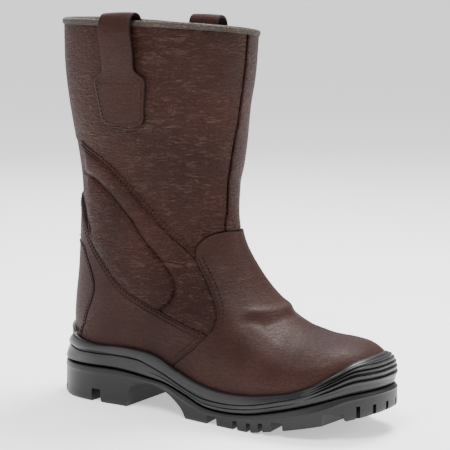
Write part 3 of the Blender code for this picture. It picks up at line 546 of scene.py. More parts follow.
def midsole_form(ring, share, toe, heel):
    """The plain side's relief: the toe's ribs, the creases of the band and the mould's parting line."""
    x, y = ring[:, 0], ring[:, 1]
    fade = ease((x - 0.252) / 0.026) * ease((share - 0.16) / 0.06) * (1.0 - ease((share - 0.90) / 0.05))
    phase = (share - RIB_START) / RIB_SPAN * RIB_COUNT
    wave = phase - math.floor(phase)
    rib = 2.5 * (wave ** 0.55) * (1.0 - ease((wave - 0.82) / 0.18)) - 0.7
    crease = -0.9 * math.exp(-((share - 0.495) / 0.018) ** 2) * (1.0 - ease((x - 0.225) / 0.03))
    waist = ease((x - 0.10) / 0.03) * (1 - ease((x - 0.235) / 0.03))
    low_crease = -0.7 * math.exp(-((share - 0.27) / 0.02) ** 2) * waist
    mould = -0.35 * np.exp(-((y + 0.012) / 0.0007) ** 2) * ease((x - 0.27) / 0.01)
    return rib * fade + crease + low_crease + mould * fade


def side_line(share):
    """The side-view line on the last at a share of the way from the groove to the lip."""
    ends = []
    for edge in (FRONT_LINE[:120], BACK_LINE[:120]):
        groove = line_height(GROOVE, edge[:, 0])
        over = edge[:, 1] - groove - (line_height(LIP, edge[:, 0]) - groove) * share
        ends.append(np.interp(0.0, over, edge[:, 0]))
    x = floor_side[:, 0]
    x = ends[0] + (ends[1] - ends[0]) * (x[0] - x) / (x[0] - x[-1])
    groove = line_height(GROOVE, x)
    z = groove + (line_height(LIP, x) - groove) * share
    floor = np.interp(x, FLOOR_LINE[:, 0], FLOOR_LINE[:, 1])
    return np.stack([x, np.maximum(z, floor + 0.3 * MM)], axis=1)


def band_heights(ring, base, share):
    """The height of a midsole point: share 0.5 follows the band's lower edge."""
    lip, groove = line_height(LIP, base[:, 0]), line_height(GROOVE, ring[:, 0])
    band = np.minimum(line_height(BAND, base[:, 0]), groove + 0.62 * (lip - groove))
    band = np.maximum(band, groove + 0.35 * (lip - groove))
    if share < 0.5:
        return groove + (band - groove) * share / 0.5
    return band + (lip - band) * (share - 0.5) / 0.5


stack = []
levels = np.concatenate([[0.0, 0.015, 0.03, 0.05], np.linspace(0.07, 0.46, 34), np.linspace(0.47, 0.53, 9),
                         np.linspace(0.545, 0.93, 36), [0.95, 0.97, 0.985, 0.995, 1.0]])
for share in levels:
    line = side_line(share) if share > 0 else floor_side
    ring = side_ring(MIDSOLE, share, line, midsole_form)
    ring[:, 2] = band_heights(ring, closed_ring(line, SOLE_COLUMNS), share) + 0.1 * MM
    stack.append(ring)
top = stack[-1]
rim = closed_ring(side_line(1.0), SOLE_COLUMNS)
for share, drop in ((0.35, -0.25), (0.75, 0.2), (1.15, 1.6)):
    ring = top.copy()
    ring[:, :2] += (rim[:, :2] - top[:, :2]) * share
    ring[:, 2] -= drop * MM
    stack.append(ring)
seat = drawn_in(closed_ring(floor_side, SOLE_COLUMNS), 0.04, 0.5 * MM)
stack = [drawn_in(stack[0], 0.05)] + stack + [seat]
midsole = add_mesh("midsole_moulding", *closed_stack(stack, SOLE_COLUMNS), MIDSOLE_RUBBER, crisp=40.0)
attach(midsole, "root")
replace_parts(midsole, "midsole")


# The insole: a loose footbed of foam under woven grey cloth, laid in on the midsole's seat.
def cloth(name, dark, light, pitch):
    """A plain woven cloth, with its threads as small bumps."""
    material, tree, shader, place = new_finish(name, Roughness=0.9, Sheen_Weight=0.3)
    across, along = (place.node("ShaderNodeTexWave", {"wave_type": "BANDS", "bands_direction": axis},
                                {"Vector": place, "Scale": pitch}) for axis in "XZ")
    weave = across * along
    soil = noise(place, 40.0, 3.0).between(0.3, 0.8)
    tone = (weave * 0.6 + soil * 0.4).maths("MULTIPLY", 1.0, clamp=True)
    feed(tree, shader, Base_Color=tone.blend(colour(*dark), colour(*light)))
    feed(tree, shader, Normal=bump(place, weave, 0.0003, 0.5))
    return material


CLOTH = cloth("insole_cloth", (40, 40, 42), (70, 70, 72), 500.0)
LAST_COLUMNS, LAST_RINGS = 300, 190
FOOTBED_INSET = -3.6 * MM
LAST = np.array([closed_ring(ring_line(s), LAST_COLUMNS) for s in np.linspace(0.0, 1.0, LAST_RINGS)])
NORMALS = outward(LAST)
NORMALS[0, :, 2] = 0.0
NORMALS[0] /= np.maximum(np.linalg.norm(NORMALS[0], axis=1, keepdims=True), 1e-9)
base = LAST[0] + NORMALS[0] * FOOTBED_INSET
stack = [base + [0, 0, 0.4 * MM], base + [0, 0, 3.2 * MM]]
stack.append(drawn_in(stack[-1], 0.012, 0.9 * MM))
insole = add_mesh("insole_footbed", *closed_stack(stack, LAST_COLUMNS), CLOTH)
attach(insole, "root")
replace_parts(insole, "insole")


# The upper's lining: grey-brown woven cloth, glued inside the leather from the collar down.
LINING = cloth("shaft_lining", (58, 48, 42), (84, 72, 64), 700.0)
LINING_INSET = -2.6 * MM
inside = (LAST + NORMALS * LINING_INSET)[:, ::-1]
inside[-1, :, 2] = LAST[-1, ::-1, 2]
lining = add_mesh("shaft_lining", inside[::2, ::2].reshape(-1, 3),
                  grid_faces(len(inside[::2]), LAST_COLUMNS // 2), LINING)
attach(lining, "root")


# The shaft: two halves of tumbled full-grain leather, outer and inner, joined by a closed seam
# down the front and one down the back. The seam allowance turns under, so each edge rolls in.
# The colour of the painted highlights on the leather's fine creases.
CREASE_HIGHLIGHT_COLOUR = colour(84, 64, 57)


def leather(name, dark, light, grain, crease, gloss):
    """Full-grain leather, pebbled by tumbling: paler on its fine creases as a painted highlight, and darker
    at its cut edges as painted shade.
    """
    material, tree, shader, place = new_finish(name, Coat_Roughness=0.40, Specular_IOR_Level=0.13)
    shader.inputs["Coat Weight"].default_value = gloss
    flat = stretched(place, 0.55, 0.55, 1.25)
    drift = flat.node("ShaderNodeTexNoise", {}, {"Vector": flat, "Scale": 120.0}, 1)
    drift = flat.node("ShaderNodeVectorMath", {"operation": "SCALE"}, {0: drift, 3: 0.004})
    warp = flat.node("ShaderNodeVectorMath", {"operation": "ADD"}, {0: flat, 1: drift})
    cells = {"Vector": warp, "Scale": 430.0}
    pebble = flat.node("ShaderNodeTexVoronoi", {"feature": "DISTANCE_TO_EDGE"}, cells).between(0.0, 0.16)
    lines = noise(stretched(place, 0.30, 0.30, 1.3), 285.0, 2.5, 0.60, 1.2)
    cloud = noise(place, 14.0, 3.0)
    where = noise(place, 30.0, 2.0).between(0.35, 0.7)
    edge = place.node("ShaderNodeAttribute", {"attribute_name": "edge"}, {}, 2)
    # Painted highlight: the ridges of the fine creases are made paler, towards the crease highlight colour.
    glint = lines.between(0.50, 0.68) * ((where * 0.5 + 0.5) * (crease * 0.45))
    base = glint.blend(cloud.between(0.2, 0.85).blend(colour(*dark), colour(*light)), CREASE_HIGHLIGHT_COLOUR)
    # Painted shade: the colour goes to a deeper brown near cut edges and pressed creases, more so in the
    # cracks of the pebble.
    shade = edge.between(0.0001, 0.0010) * (0.65 + pebble * 0.35)
    deep = (*(v * 0.35 for v in colour(*dark)[:3]), 1.0)
    feed(tree, shader, Base_Color=shade.blend(deep, base))
    feed(tree, shader, Roughness=0.58 - pebble * 0.08 + cloud * 0.08)
    tall = pebble * grain + lines * (crease * (0.6 + where * 0.8))
    feed(tree, shader, Normal=bump(place, tall, 0.0022))
    return material


SHAFT_LEATHER = leather("shaft_leather", (38, 17, 14), (58, 34, 28), 0.20, 1.1, 0.04)
SMOOTH_LEATHER = leather("panel_leather", (38, 19, 16), (57, 36, 31), 0.03, 0.24, 0.04)


def curve(points, steps=6):
    """A smooth line through points in millimetres."""
    line = np.array(points, float) * MM
    return fine_line(line, steps * (len(line) - 1) + 1)


# The seam lines, as side-view points in millimetres.
SHAFT_EDGE = curve(((-20, 222), (10, 219.5), (28, 215), (47, 207), (57, 203), (70, 196), (90, 180),
                    (110, 160), (133, 137), (147, 126)))
PANEL_FRONT = curve(((147, 126), (153, 117), (160, 108), (166, 99), (171, 91), (174, 82), (172, 74),
                     (168, 70)))
QUARTER_EDGE = curve(((168, 70), (156, 73), (145, 76), (118, 84), (100, 91), (81, 101), (64, 118), (45, 139),
                      (37, 151), (30, 164), (20, 172), (-20, 178)))
VAMP_EDGE = curve(((230, 142), (174, 144.5), (170, 147), (165, 148), (158, 146.5), (151, 142.5), (146, 136),
                   (147, 126)))
SIDE_SEAM = curve(((168, 70), (157, 59), (144, 49), (133, 40), (118, 24)))
COUNTER_EDGE = curve(((-20, 132), (26, 132), (35, 129.5), (42, 119), (48, 109), (52, 96), (48, 84), (42, 73),
                      (37, 58), (35, 28)))
PAD_GROOVE = curve(((36, 190), (55, 186), (66, 179), (75, 173), (83, 165), (92, 156), (102, 141), (115, 126),
                    (126, 113), (130, 106), (130, 96), (119, 85)))
PAD_BACK = curve(((43, 187), (38, 178), (37, 170), (40, 156), (46, 143)))
FRONT_SEAM = np.array(((178, -2, 305), (176, -2, 282), (174, -4, 256), (172, -6, 234), (170, -8, 222),
                       (168, -9, 207), (165, -9, 189), (164, -9, 164), (165, -12, 149),
                       (165, -12, 120))) * MM


def closed_outline(*parts):
    """Seam lines joined end to end into a closed outline."""
    return np.vstack([np.asarray(part, float) for part in parts])


def line_distance(line, x, z, closed=False):
    """How far side-view points lie from a line."""
    start = line if closed else line[:-1]
    step = (np.roll(line, -1, axis=0) - line) if closed else np.diff(line, axis=0)
    best = np.full(x.shape, 1e9)
    for a, s in zip(start, step):
        size = max(float(s @ s), 1e-14)
        share = np.clip(((x - a[0]) * s[0] + (z - a[1]) * s[1]) / size, 0.0, 1.0)
        best = np.minimum(best, np.hypot(x - a[0] - share * s[0], z - a[1] - share * s[1]))
    return best


def inside_outline(outline, x, z):
    """The distance inside a closed outline, negative outside it."""
    crossings = np.zeros(x.shape, int)
    for a, b in zip(outline, np.roll(outline, -1, axis=0)):
        over = (a[1] > z) != (b[1] > z)
        rise = b[1] - a[1] if abs(b[1] - a[1]) > 1e-12 else 1e-12
        crossings += over & (x < a[0] + (b[0] - a[0]) * (z - a[1]) / rise)
    depth = line_distance(outline, x, z, closed=True)
    return np.where(crossings % 2 == 1, depth, -depth)


LAST_X, LAST_Y, LAST_Z = (LAST[:, :, k].ravel() for k in range(3))
LAST_FLAT = np.column_stack([LAST.reshape(-1, 3), NORMALS.reshape(-1, 3)])
LAST_FACES = grid_faces(LAST_RINGS, LAST_COLUMNS)


def split(data, faces, values):
    """Cuts triangles where a value passes zero. New points are added on the edges."""
    sign = values >= 0.0
    count = sign[faces].sum(axis=1)
    plain = faces[(count == 0) | (count == 3)]
    mixed = faces[(count == 1) | (count == 2)]
    alone = np.where(sign[mixed].sum(axis=1, keepdims=True) == 1, sign[mixed], ~sign[mixed])
    first = np.argmax(alone, axis=1)
    mixed = np.stack([mixed[np.arange(len(mixed)), (first + k) % 3] for k in range(3)], axis=1)
    pairs = np.sort(np.vstack([mixed[:, [0, 1]], mixed[:, [0, 2]]]), axis=1)
    edges, index = np.unique(pairs, axis=0, return_inverse=True)
    index = index.ravel()
    v0, v1 = values[edges[:, 0]], values[edges[:, 1]]
    t = (v0 / (v0 - v1))[:, None]
    new = data[edges[:, 0]] * (1 - t) + data[edges[:, 1]] * t
    p = len(data) + index[:len(mixed)]
    q = len(data) + index[len(mixed):]
    a, b, c = mixed.T
    parts = np.vstack([np.stack([a, p, q], axis=1), np.stack([p, b, c], axis=1), np.stack([p, c, q], axis=1)])
    return np.vstack([data, new]), np.vstack([plain, parts])


def cut_panel(name, inside, lift, material, turn_in, roll=1.3, drop=0.55, crease=None):
    """A panel of leather cut from the last's surface where inside is positive.

    lift gives how far its face stands off the last, turn_in how deep its cut edge reaches, and
    crease a line pressed into it, along which painted shade darkens the colour as at a cut edge.
    """
    data = np.column_stack([LAST_FLAT, inside])
    data, faces = split(data, LAST_FACES, data[:, 6])
    faces = faces[data[faces, 6].sum(axis=1) > 1e-9]
    for level in (0.35 * roll * MM, roll * MM):
        data, faces = split(data, faces, data[:, 6] - level)
    used, faces = np.unique(faces, return_inverse=True)
    data, faces = data[used], faces.reshape(-1, 3)
    normal = data[:, 3:6] / np.maximum(np.linalg.norm(data[:, 3:6], axis=1, keepdims=True), 1e-9)
    edge = np.maximum(data[:, 6], 0.0)
    t = np.clip(edge / (roll * MM), 0.0, 1.0)
    stand = lift(data[:, 0], data[:, 1], data[:, 2], edge) - drop * MM * (1.0 - np.sqrt(1.0 - (1.0 - t) ** 2))
    points = data[:, :3] + normal * stand[:, None]
    sides = np.vstack([faces[:, [0, 1]], faces[:, [1, 2]], faces[:, [2, 0]]])
    keys = np.sort(sides, axis=1)
    _, index, counts = np.unique(keys, axis=0, return_inverse=True, return_counts=True)
    rim = sides[(counts[index.ravel()] == 1) & (edge[sides].max(axis=1) < 1e-7)]
    rim_points, rim_index = np.unique(rim, return_inverse=True)
    rim_index = rim_index.reshape(-1, 2)
    low = data[rim_points, :3] + normal[rim_points] * turn_in * MM
    # Painted shade: the colour is darkened near the cut edge and along the pressed crease, where shade falls.
    edge_shade_mask = edge
    if crease is not None:
        edge_shade_mask = np.minimum(edge, 0.62 * MM + 0.3 * line_distance(crease, data[:, 0], data[:, 2]))
    a, b = rim[:, 0], rim[:, 1]
    c, d = len(points) + rim_index[:, 0], len(points) + rim_index[:, 1]
    walls = np.vstack([np.stack([b, a, c], axis=1), np.stack([b, c, d], axis=1)])
    piece = add_mesh(name, np.vstack([points, low]), np.vstack([faces, walls]), material,
                     {"edge": np.concatenate([edge_shade_mask, np.zeros(len(low))])}, 42.0)
    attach(piece, "root")
    return piece


def seam_place(z):
    """How far across the boot the front seam runs at a height."""
    return np.interp(z, FRONT_SEAM[::-1, 2], FRONT_SEAM[::-1, 1])


SHAFT_MIDDLE = 0.092
middle_y = np.where(LAST_X > SHAFT_MIDDLE, seam_place(LAST_Z), 0.0)
over_collar = [(0.26, 0.142), (0.26, 0.36), (-0.02, 0.36)]
above = inside_outline(closed_outline(SHAFT_EDGE, VAMP_EDGE[::-1][1:], over_collar), LAST_X, LAST_Z)


def shaft_lift(x, y, z, edge):
    """The shaft's face: slack leather with a few soft dents. The inner half stands up at the seam."""
    soft = 0.35 * np.sin(z * 95.0 + x * 23.0) * np.sin(x * 60.0 + 1.3)
    soft += 0.22 * np.sin(z * 41.0 - x * 70.0 + y * 50.0)
    dent = -0.9 * np.exp(-((z - 0.262 + 0.25 * (x - 0.12)) / 0.010) ** 2) * np.exp(-((x - 0.135) / 0.03) ** 2)
    fold = -0.8 * np.exp(-((z - 0.172 - 0.35 * (x - 0.12)) / 0.007) ** 2) * ease((x - 0.12) / 0.04)
    seam = np.exp(-((y - seam_place(z)) / 0.010) ** 2) * (x > 0.12)
    proud = np.where(y > seam_place(z), 0.9, -0.2) * seam
    return (soft * ease(edge / 0.012) + dent + fold + proud) * MM


for side, name in ((-1, "outer"), (1, "inner")):
    half = np.minimum(above, side * (LAST_Y - middle_y))
    piece = cut_panel("shaft_half_" + name, half, shaft_lift, SHAFT_LEATHER, -2.2, roll=2.2, drop=1.3)
    if side < 0:
        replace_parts(piece, "upper")


# The ankle panels: softer leather quilted over foam, let in under the shaft, the quarters and
# the vamp. One leaf-shaped pad lies over the ankle bone, and a padded roll runs round its front.
panel_outline = closed_outline(SHAFT_EDGE, PANEL_FRONT[1:], QUARTER_EDGE[1:])
PAD_FORM = closed_outline(PAD_GROOVE[9:], [(0.100, 0.080), (0.060, 0.108), (0.046, 0.132)], PAD_BACK[::-1])
PANEL_RECESS, PAD_RISE, ROLL_RISE, LAP_DROP = -0.8, 3.9, 2.7, -1.3
SEAM_LAP = 3.0 * MM


def bulge(share):
    """A round swell: 0 at share 0, rising steeply, level at share 1."""
    return np.sqrt(np.clip(1.0 - (1.0 - np.clip(share, 0.0, 1.0)) ** 2, 0.0, 1.0))


def panel_lift(x, y, z, edge):
    """The panel's face: the pad over the ankle and the roll between the groove and the seam."""
    groove = line_distance(PAD_GROOVE, x, z)
    back = line_distance(PAD_BACK, x, z)
    low = line_distance(QUARTER_EDGE, x, z)
    front = np.minimum(line_distance(SHAFT_EDGE, x, z), line_distance(PANEL_FRONT, x, z))
    pad_in = inside_outline(PAD_FORM, x, z) > 0.0
    near = np.minimum(np.minimum(groove, back), low + 0.004)
    pad = np.where(pad_in, bulge(near / 0.015), 0.0)
    roll_in = np.where(pad_in | (x < 0.036), 0.0, 1.0)
    band = bulge(2.0 * np.minimum(groove, front) / np.maximum(groove + front, 1e-6))
    band = band * ease((x - 0.036) / 0.012)
    ripple = 0.14 * np.sin(z * 760.0 + 90.0 * x + 0.8 * np.sin(z * 210.0)) * roll_in
    ripple *= np.exp(-((x - 0.158) / 0.016) ** 2) * ease(edge / 0.006)
    pressed = -0.9 * np.exp(-(groove / 0.0016) ** 2)
    lift = PANEL_RECESS + pressed + PAD_RISE * pad + ROLL_RISE * band * roll_in + ripple
    return np.where(inside_outline(panel_outline, x, z) > 0.0, lift, LAP_DROP) * MM


in_panel = inside_outline(panel_outline, LAST_X, LAST_Z) + SEAM_LAP
for side, name in ((-1, "outer"), (1, "inner")):
    half = np.minimum(in_panel, side * LAST_Y)
    piece = cut_panel("ankle_quilt_" + name, half, panel_lift, SHAFT_LEATHER, -2.2, crease=PAD_GROOVE)
    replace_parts(piece, "ankle_panel_" + name)


# The quarters: firm leather from the waist round to the back seam, lasted under the sole's lip.
QUARTER_RISE = 1.3


def quarter_lift(x, y, z, edge):
    """A quarter's face, with a slight swell over the heel."""
    return (QUARTER_RISE + 0.25 * np.sin(x * 70.0) * np.sin(z * 60.0)) * MM


ground = [(0.035, -0.01), (0.118, -0.01)]
outline = closed_outline(QUARTER_EDGE, [(-0.02, 0.132)], COUNTER_EDGE[1:], ground, SIDE_SEAM[:0:-1])
in_quarter = inside_outline(outline, LAST_X, LAST_Z)
for side, name in ((-1, "outer"), (1, "inner")):
    half = np.minimum(in_quarter, side * LAST_Y)
    piece = cut_panel("quarter_leather_" + name, half, quarter_lift, SMOOTH_LEATHER, -2.4)
    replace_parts(piece, "quarter_" + name)


# The vamp: one smooth full-grain piece over the forefoot, lapped over the panels and quarters
# and pulled down tight on the last, with two soft folds where the foot bends.
VAMP_RISE = 1.7


def vamp_lift(x, y, z, edge):
    """The vamp's face: two soft folds below the instep, and a faint swell over the toe cap."""
    outer = 1.0 - ease((y - 0.012) / 0.030)
    first = z - 0.0868 + 0.15 * (x - 0.208)
    first_here = ease((x - 0.188) / 0.014) * (1.0 - ease((x - 0.211) / 0.010)) * outer
    second = z - 0.0873 + 0.56 * (x - 0.210)
    second_here = ease((x - 0.204) / 0.008) * (1.0 - ease((x - 0.222) / 0.014))
    folds = (np.exp(-(first / 0.0026) ** 2) - np.exp(-((first + 0.0062) / 0.0036) ** 2)) * 1.5 * first_here
    folds += 1.5 * np.exp(-(second / 0.0028) ** 2) * second_here
    folds -= 1.3 * np.exp(-((second + 0.0066) / 0.0040) ** 2) * second_here
    slack = 0.5 * np.exp(-(((x - 0.190) / 0.014) ** 2 + ((z - 0.104) / 0.010) ** 2))
    cap_edge = 0.35 * ease((x - 0.243) / 0.008)
    return (VAMP_RISE + folds - slack + cap_edge) * MM


ground = [(0.118, -0.01), (0.34, -0.01), (0.34, 0.142)]
in_vamp = inside_outline(closed_outline(VAMP_EDGE, PANEL_FRONT[1:], SIDE_SEAM[1:], ground), LAST_X, LAST_Z)
vamp = cut_panel("vamp_leather", in_vamp, vamp_lift, SMOOTH_LEATHER, -1.4)
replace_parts(vamp, "vamp")


# The heel counter: a stiff moulded cover round the back of the heel, sewn over the quarters.
COUNTER_RISE = 1.8


def counter_lift(x, y, z, edge):
    """The counter's face, nearly flat."""
    return (COUNTER_RISE + 0.15 * np.sin(z * 80.0)) * MM


in_counter = inside_outline(closed_outline(COUNTER_EDGE, [(0.035, -0.01), (-0.02, -0.01)]), LAST_X, LAST_Z)
counter = cut_panel("heel_counter_leather", in_counter, counter_lift, SMOOTH_LEATHER, -0.4)
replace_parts(counter, "heel_counter")


# The collar binding: a strip of grey-brown leather folded over the rim and sewn through.
BINDING = leather("binding_leather", (54, 47, 42), (84, 76, 70), 0.3, 0.3, 0.08)
RIM_POINTS = 360
BINDING_HALF, BINDING_RISE, BINDING_LEVEL = 2.75, 2.5, 1.9
rim = closed_ring(ring_line(1.0), RIM_POINTS)
step = np.roll(rim, -1, axis=0) - np.roll(rim, 1, axis=0)
sideways = np.stack([-step[:, 1], step[:, 0], np.zeros(RIM_POINTS)], axis=1)
sideways /= np.linalg.norm(sideways, axis=1, keepdims=True)
turn = np.linspace(0.0, 2.0 * math.pi, RIM_POINTS, endpoint=False)
waver = 0.25 * np.sin(turn * 9.0 + 0.5) + 0.2 * np.sin(turn * 4.0) + 0.12 * np.sin(turn * 23.0)
profile = []
for angle in np.linspace(-0.15 * math.pi, 1.15 * math.pi, 15):
    profile.append((BINDING_HALF * math.cos(angle), BINDING_LEVEL + BINDING_RISE * math.sin(angle)))
profile = [(1.5, -0.9), (2.3, -0.6)] + profile + [(-2.3, -0.6), (-1.5, -0.9)]
rings = []
for out, up in profile:
    ring = rim + sideways * ((out * (1.0 + 0.10 * waver) - 1.5) * MM)[:, None]
    ring[:, 2] += (up + 0.4 * waver * (up > 0)) * MM
    rings.append(ring)
rings = np.array(rings + rings[:1])
binding = add_mesh("rim_binding", rings.reshape(-1, 3), grid_faces(len(rings), RIM_POINTS), BINDING,
                   {"edge": np.full(len(rings) * RIM_POINTS, 0.01)}, 60.0)
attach(binding, "root")
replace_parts(binding, "collar_binding")


# The pull straps: a folded leather band over the rim on each side, its end spread into a patch
# that is sewn flat on the shaft. The table's columns are the reach out from the shaft, the height
# and the half width, in millimetres, from the patch's end up and over into the boot.
STRAP = (
    (1.50, 232.3, 13.0), (1.50, 233.4, 17.0), (1.50, 235.5, 19.6), (1.50, 239.0, 21.0), (1.50, 246.0, 21.8),
    (1.50, 260.0, 24.0), (1.60, 266.0, 24.7), (1.80, 269.0, 23.6), (2.20, 272.0, 18.9), (2.80, 275.0, 15.6),
    (3.90, 279.0, 15.0), (5.60, 286.0, 15.0), (7.40, 298.0, 15.0), (8.00, 307.0, 15.0), (7.60, 313.0, 15.0),
    (6.00, 317.5, 15.0), (3.20, 320.0, 15.0), (0.00, 320.6, 15.0), (-3.40, 320.0, 15.0), (-6.20, 317.6, 15.0),
    (-7.60, 312.0, 15.0), (-7.20, 301.0, 15.0), (-5.40, 288.0, 15.0), (-5.00, 260.0, 15.0),
)
STRAP_THICK = 2.3 * MM
STRAP_SIDE = ((0.975, 0.42), (1.0, 0.2), (1.0, -0.2), (0.975, -0.42))


def strap(name, side, along, drop, lean):
    """One strap with rolled edges. drop lowers its loop, and lean sets the band forward of its patch."""
    rows = np.array(STRAP, float) * MM
    run = lengths(rows[:, :2])
    at = np.linspace(0.0, run[-1], 150)
    reach, level, half = (smooth(run, rows[:, k], at) for k in range(3))
    level = level - drop * MM * ease((level - 0.290) / 0.020)
    middle = along + lean * MM * ease((at - 0.030) / 0.030)
    travel = np.stack([np.gradient(reach), np.gradient(level)], axis=1)
    travel /= np.linalg.norm(travel, axis=1, keepdims=True)
    section = [(s, 0.5) for s in np.linspace(-0.93, 0.93, 15)] + list(STRAP_SIDE)
    section += [(-s, -face) for s, face in section]
    rings, edges = [], []
    for share, face in section:
        belly = face + (0.16 * (1 - share ** 2) if face > 0.45 else 0.0)
        x = middle + half * share
        out = reach + belly * STRAP_THICK * travel[:, 1]
        up = level - belly * STRAP_THICK * travel[:, 0]
        shaft = half_width(x, np.minimum(up, COLLAR_HEIGHT), side)
        rings.append(np.stack([x, side * (shaft + out), up], axis=1))
        edges.append((1.0 - abs(share)) * half)
    rings = np.array(rings).transpose(1, 0, 2)
    first, final = (rings[[k]].mean(axis=1, keepdims=True).repeat(len(section), axis=1) for k in (0, -1))
    rings = np.concatenate([first, rings, final])
    # The distance to the strap's sides, near which the leather's colour is darkened as painted shade at its
    # rolled edges.
    edge = np.pad(np.array(edges).T, ((1, 1), (0, 0)))
    faces = grid_faces(len(rings), len(section))
    if side < 0:
        faces = faces[:, ::-1]
    piece = add_mesh(name, rings.reshape(-1, 3), faces, SMOOTH_LEATHER, {"edge": edge.ravel()}, 50.0)
    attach(piece, "root")
    return piece


STRAPS = (("pull_strap_outer", -1, 0.0930, 3.5, 4.2), ("pull_strap_inner", 1, 0.0994, 0.0, 0.0))
for name, side, along, drop, lean in STRAPS:
    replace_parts(strap(name + "_band", side, along, drop, lean), name)


# The stitching: bonded brown thread, in double rows along the lapped seams and single rows
# round the heel counter and the strap patches. A stitch is a short plump bar, and on the seams
# it lies between two needle holes, which are near-black bars of painted shade.
def stitch_tree():
    """A tree that sets one short bar, a stitch or a hole, at every step along a curve."""
    tree = bpy.data.node_groups.new("stitch_row", "GeometryNodeTree")
    face = tree.interface
    face.new_socket("Geometry", in_out="INPUT", socket_type="NodeSocketGeometry")
    for label, value in (("Pitch", 0.0033), ("Length", 0.0024), ("Thread", 0.0004)):
        face.new_socket(label, in_out="INPUT", socket_type="NodeSocketFloat").default_value = value
    face.new_socket("Finish", in_out="INPUT", socket_type="NodeSocketMaterial")
    face.new_socket("Geometry", in_out="OUTPUT", socket_type="NodeSocketGeometry")

    def node(kind, settings=None, **feeds):
        made = tree.nodes.new(kind)
        for label, value in (settings or {}).items():
            setattr(made, label, value)
        for label, value in feeds.items():
            socket = made.inputs[label.replace("_", " ")]
            if hasattr(value, "is_output"):
                tree.links.new(value, socket)
            else:
                socket.default_value = value
        return made

    given = node("NodeGroupInput").outputs
    line = node("GeometryNodeMeshToCurve", Mesh=given["Geometry"])
    steps = node("GeometryNodeResampleCurve", {"mode": "LENGTH"}, Curve=line.outputs["Curve"],
                 Length=given["Pitch"])
    ball = node("GeometryNodeMeshUVSphere", Segments=8, Rings=6, Radius=0.5)
    size = node("ShaderNodeCombineXYZ", X=given["Thread"], Y=given["Thread"], Z=given["Length"])
    double = node("ShaderNodeVectorMath", {"operation": "MULTIPLY"})
    tree.links.new(size.outputs[0], double.inputs[0])
    double.inputs[1].default_value = (2.0, 2.0, 1.0)
    tangent = node("GeometryNodeInputTangent")
    aim = node("FunctionNodeAlignRotationToVector", {"axis": "Z"}, Vector=tangent.outputs["Tangent"])
    rows = node("GeometryNodeInstanceOnPoints", Points=steps.outputs["Curve"], Instance=ball.outputs["Mesh"],
                Rotation=aim.outputs["Rotation"], Scale=double.outputs[0])
    real = node("GeometryNodeRealizeInstances", Geometry=rows.outputs["Instances"])
    even = node("GeometryNodeSetShadeSmooth", Geometry=real.outputs["Geometry"])
    paint = node("GeometryNodeSetMaterial", Geometry=even.outputs["Geometry"], Material=given["Finish"])
    tree.links.new(paint.outputs["Geometry"], node("NodeGroupOutput").inputs["Geometry"])
    return tree


STITCH_ROW = stitch_tree()
material, tree, shader, place = new_finish("brown_thread", Roughness=0.7, Specular_IOR_Level=0.1)
# The thread's twist as diagonal bands, paler and darker: painted light and shade on its plies.
twist_ply_shading = place.node("ShaderNodeTexWave", {"bands_direction": "DIAGONAL"}, {"Vector": place, "Scale": 900.0})
feed(tree, shader, Base_Color=twist_ply_shading.blend(colour(30, 20, 17), colour(58, 43, 37)))
THREAD = material
# Needle holes: near-black bars of painted shade, standing for the shadowed insides of the holes.
material, tree, shader, place = new_finish("needle_hole", Roughness=0.9, Specular_IOR_Level=0.05)
feed(tree, shader, Base_Color=noise(place, 300.0).blend(colour(10, 7, 6), colour(16, 11, 10)))
HOLE_SHADE = material


def surface_points(line, side, out):
    """Side-view points laid on the last's surface, standing off it."""
    x, z = line[:, 0], line[:, 1]
    def at(a, b):
        return np.stack([a, crest(a, b) + side * half_width(a, b, side), b], axis=1)
    step = 0.4 * MM
    normal = np.cross(at(x, z + step) - at(x, z - step), at(x + step, z) - at(x - step, z)) * side * -1.0
    normal /= np.maximum(np.linalg.norm(normal, axis=1, keepdims=True), 1e-12)
    normal *= np.where(normal[:, 1] * side < 0, -1.0, 1.0)[:, None]
    return at(x, z) + normal * np.asarray(out)[..., None] * MM


def offset_line(line, distance):
    """A side-view line moved sideways, to its left for a positive distance."""
    step = np.gradient(line, axis=0)
    step /= np.linalg.norm(step, axis=1, keepdims=True)
    return line + np.stack([-step[:, 1], step[:, 0]], axis=1) * distance * MM


def row(name, lines, pitch, length, thread, finish):
    """Rows of stitches or holes along 3-D lines, as one plain mesh."""
    points, edges, start = [], [], 0
    for line in lines:
        points += (tilt_collar(line) + HOME).tolist()
        edges += [(start + i, start + i + 1) for i in range(len(line) - 1)]
        start += len(line)
    mesh = bpy.data.meshes.new(name)
    mesh.from_pydata(points, edges, [])
    piece = add_object(name, mesh)
    step = piece.modifiers.new("rows", "NODES")
    step.node_group = STITCH_ROW
    for label, value in (("Pitch", pitch), ("Length", length), ("Thread", thread), ("Finish", finish)):
        step[STITCH_ROW.interface.items_tree[label].identifier] = value
    settle(piece)
    if not piece.data.materials:
        piece.data.materials.append(finish)
    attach(piece, "root")
    return piece


